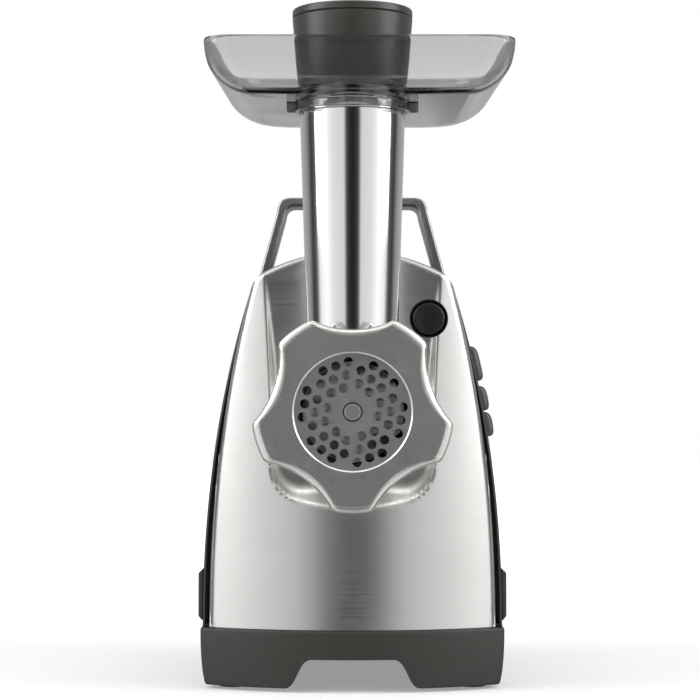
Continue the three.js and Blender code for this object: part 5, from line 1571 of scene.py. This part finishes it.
@dataclass
class Studio:
    """Pale floor, soft lights, a graded surround and the camera."""

    eye: tuple[float, float, float] = (-0.0013, -1.240, 0.1432)
    pitch: float = 1.8
    lens: float = 115.5
    floor_size: float = 12.0
    floor_colour: Colour = (0.70, 0.70, 0.70)
    # Colour of the painted glow on the floor right by the grinder, darker than the white glow further out.
    painted_floor_glow: Colour = (0.30, 0.30, 0.30)
    surround: float = 1.0
    sky_stops: tuple[Point, ...] = (
        (0.0, 0.5), (0.2, 0.34), (0.34, 0.05), (0.455, 0.11), (0.56, 1.0),
        (0.72, 1.25), (0.86, 0.90), (0.970, 0.80), (0.986, 0.08), (1.0, 0.02),
    )
    lights: tuple[SoftLight, ...] = (
        SoftLight("left_light", (-1.1, -0.35, 0.75), (0.0, 0.0, 0.16), (0.7, 1.0), 9.0),
        SoftLight("right_light", (1.1, -0.35, 0.75), (0.0, 0.0, 0.16), (0.7, 1.0), 9.0),
        SoftLight("top_light", (0.0, -0.1, 1.5), (0.0, 0.0, 0.0), (1.2, 1.0), 6.0),
    )

    def camera(self) -> None:
        """Create the camera and make it the scene's."""
        lens = bpy.data.cameras.new("camera")
        lens.lens, lens.sensor_width = self.lens, 36.0
        made = bpy.data.objects.new("camera", lens)
        made.location = self.eye
        made.rotation_euler = (math.radians(90.0 + self.pitch), 0.0, 0.0)
        bpy.context.scene.collection.objects.link(made)
        bpy.context.scene.camera = made

    def floor(self) -> None:
        """Create the pale floor, which glossy surfaces don't mirror. Its emission is a painted glow: dimmer near the
        grinder, so the floor there is darker, and bright further out, so the far floor reads white.
        """
        mesh = bpy.data.meshes.new("floor")
        half = self.floor_size / 2
        corners = [(-half, -half, 0), (half, -half, 0), (half, half, 0), (-half, half, 0)]
        mesh.from_pydata(corners, [], [(0, 1, 2, 3)])
        shader = Shader("pale_floor", {"Roughness": 0.7, "Specular IOR Level": 0.1, "Emission Strength": 1.0})
        cloud = shader.noise((0.4, 0.4, 0.4), 2.0)
        low = tuple(channel * 0.99 for channel in self.floor_colour)
        shader.surface("Base Color", shader.blend(cloud, low, self.floor_colour))
        # Painted glow: the floor's emission rises with distance from the grinder, darker near it and white further
        # out.
        far = shader.node("ShaderNodeVectorMath", {"operation": "LENGTH"}, {0: shader.place})
        painted_glow_share = Field(shader, far.outputs["Value"]).between(0.2, 1.7)
        shader.surface("Emission Color", shader.blend(painted_glow_share, self.painted_floor_glow, (1.0, 1.0, 1.0)))
        mesh.materials.append(shader.material)
        made = bpy.data.objects.new("floor", mesh)
        made.visible_glossy = False
        bpy.context.scene.collection.objects.link(made)

    def sky(self) -> None:
        """Light the scene from all round: dark ahead, bright sides, dim behind, plain to the camera."""
        world = bpy.data.worlds.new("studio")
        world.use_nodes = True
        bpy.context.scene.world = world
        tree = world.node_tree
        tree.nodes.clear()
        place = tree.nodes.new("ShaderNodeTexCoord")
        flat = tree.nodes.new("ShaderNodeVectorMath")
        flat.operation = "MULTIPLY"
        flat.inputs[1].default_value = (1.0, 1.0, 0.0)
        level = tree.nodes.new("ShaderNodeVectorMath")
        level.operation = "NORMALIZE"
        ahead = tree.nodes.new("ShaderNodeSeparateXYZ")
        share = tree.nodes.new("ShaderNodeMapRange")
        share.inputs["From Min"].default_value = 1.0
        share.inputs["From Max"].default_value = -1.0
        ramp = tree.nodes.new("ShaderNodeValToRGB")
        stops, band = self.sky_stops, ramp.color_ramp
        band.elements[0].position, band.elements[1].position = stops[0][0], stops[-1][0]
        for position, _ in stops[1:-1]:
            band.elements.new(position)
        for element, (_, value) in zip(band.elements, stops):
            element.color = (value, value, value, 1.0)
        rays = tree.nodes.new("ShaderNodeLightPath")
        plain = tree.nodes.new("ShaderNodeMix")
        plain.data_type = "RGBA"
        plain.inputs["B"].default_value = (1.0, 1.0, 1.0, 1.0)
        light = tree.nodes.new("ShaderNodeBackground")
        light.inputs["Strength"].default_value = self.surround
        out = tree.nodes.new("ShaderNodeOutputWorld")
        through = tree.nodes.new("ShaderNodeMath")
        through.operation = "MAXIMUM"
        for source, target in (
            (place.outputs["Generated"], flat.inputs[0]),
            (flat.outputs[0], level.inputs[0]),
            (level.outputs[0], ahead.inputs[0]),
            (ahead.outputs["Y"], share.inputs["Value"]),
            (share.outputs["Result"], ramp.inputs[0]),
            (ramp.outputs[0], plain.inputs["A"]),
            (rays.outputs["Is Camera Ray"], through.inputs[0]),
            (rays.outputs["Is Transmission Ray"], through.inputs[1]),
            (through.outputs[0], plain.inputs["Factor"]),
            (plain.outputs["Result"], light.inputs["Color"]),
            (light.outputs[0], out.inputs[0]),
        ):
            tree.links.new(source, target)

    def build(self) -> None:
        """Create everything round the object."""
        bpy.context.scene.view_settings.view_transform = "Standard"
        self.camera()
        self.floor()
        self.sky()
        for light in self.lights:
            light.build()


def main() -> None:
    """Build the studio and every piece of the grinder."""
    logging.basicConfig(level=logging.INFO, format="%(name)s %(message)s")
    Studio().build()
    finishes = {finish.name: finish.build() for finish in FINISHES}
    finisher = Finisher(finishes)
    body = Body()
    dress_cad_nodes(finishes)
    SteelFront(body).build(finisher)
    Housing(body).build(finisher)
    Base().build(finisher)
    CarryHandle().build(finisher, body)
    Dock().build(finisher)
    Head().build(finisher)
    RingNut().build(finisher)
    PlateAndAuger().build(finisher)
    HopperTray().build(finisher)
    Pusher().build(finisher)
    Gland().build(finisher)


if __name__ == "__main__":
    main()
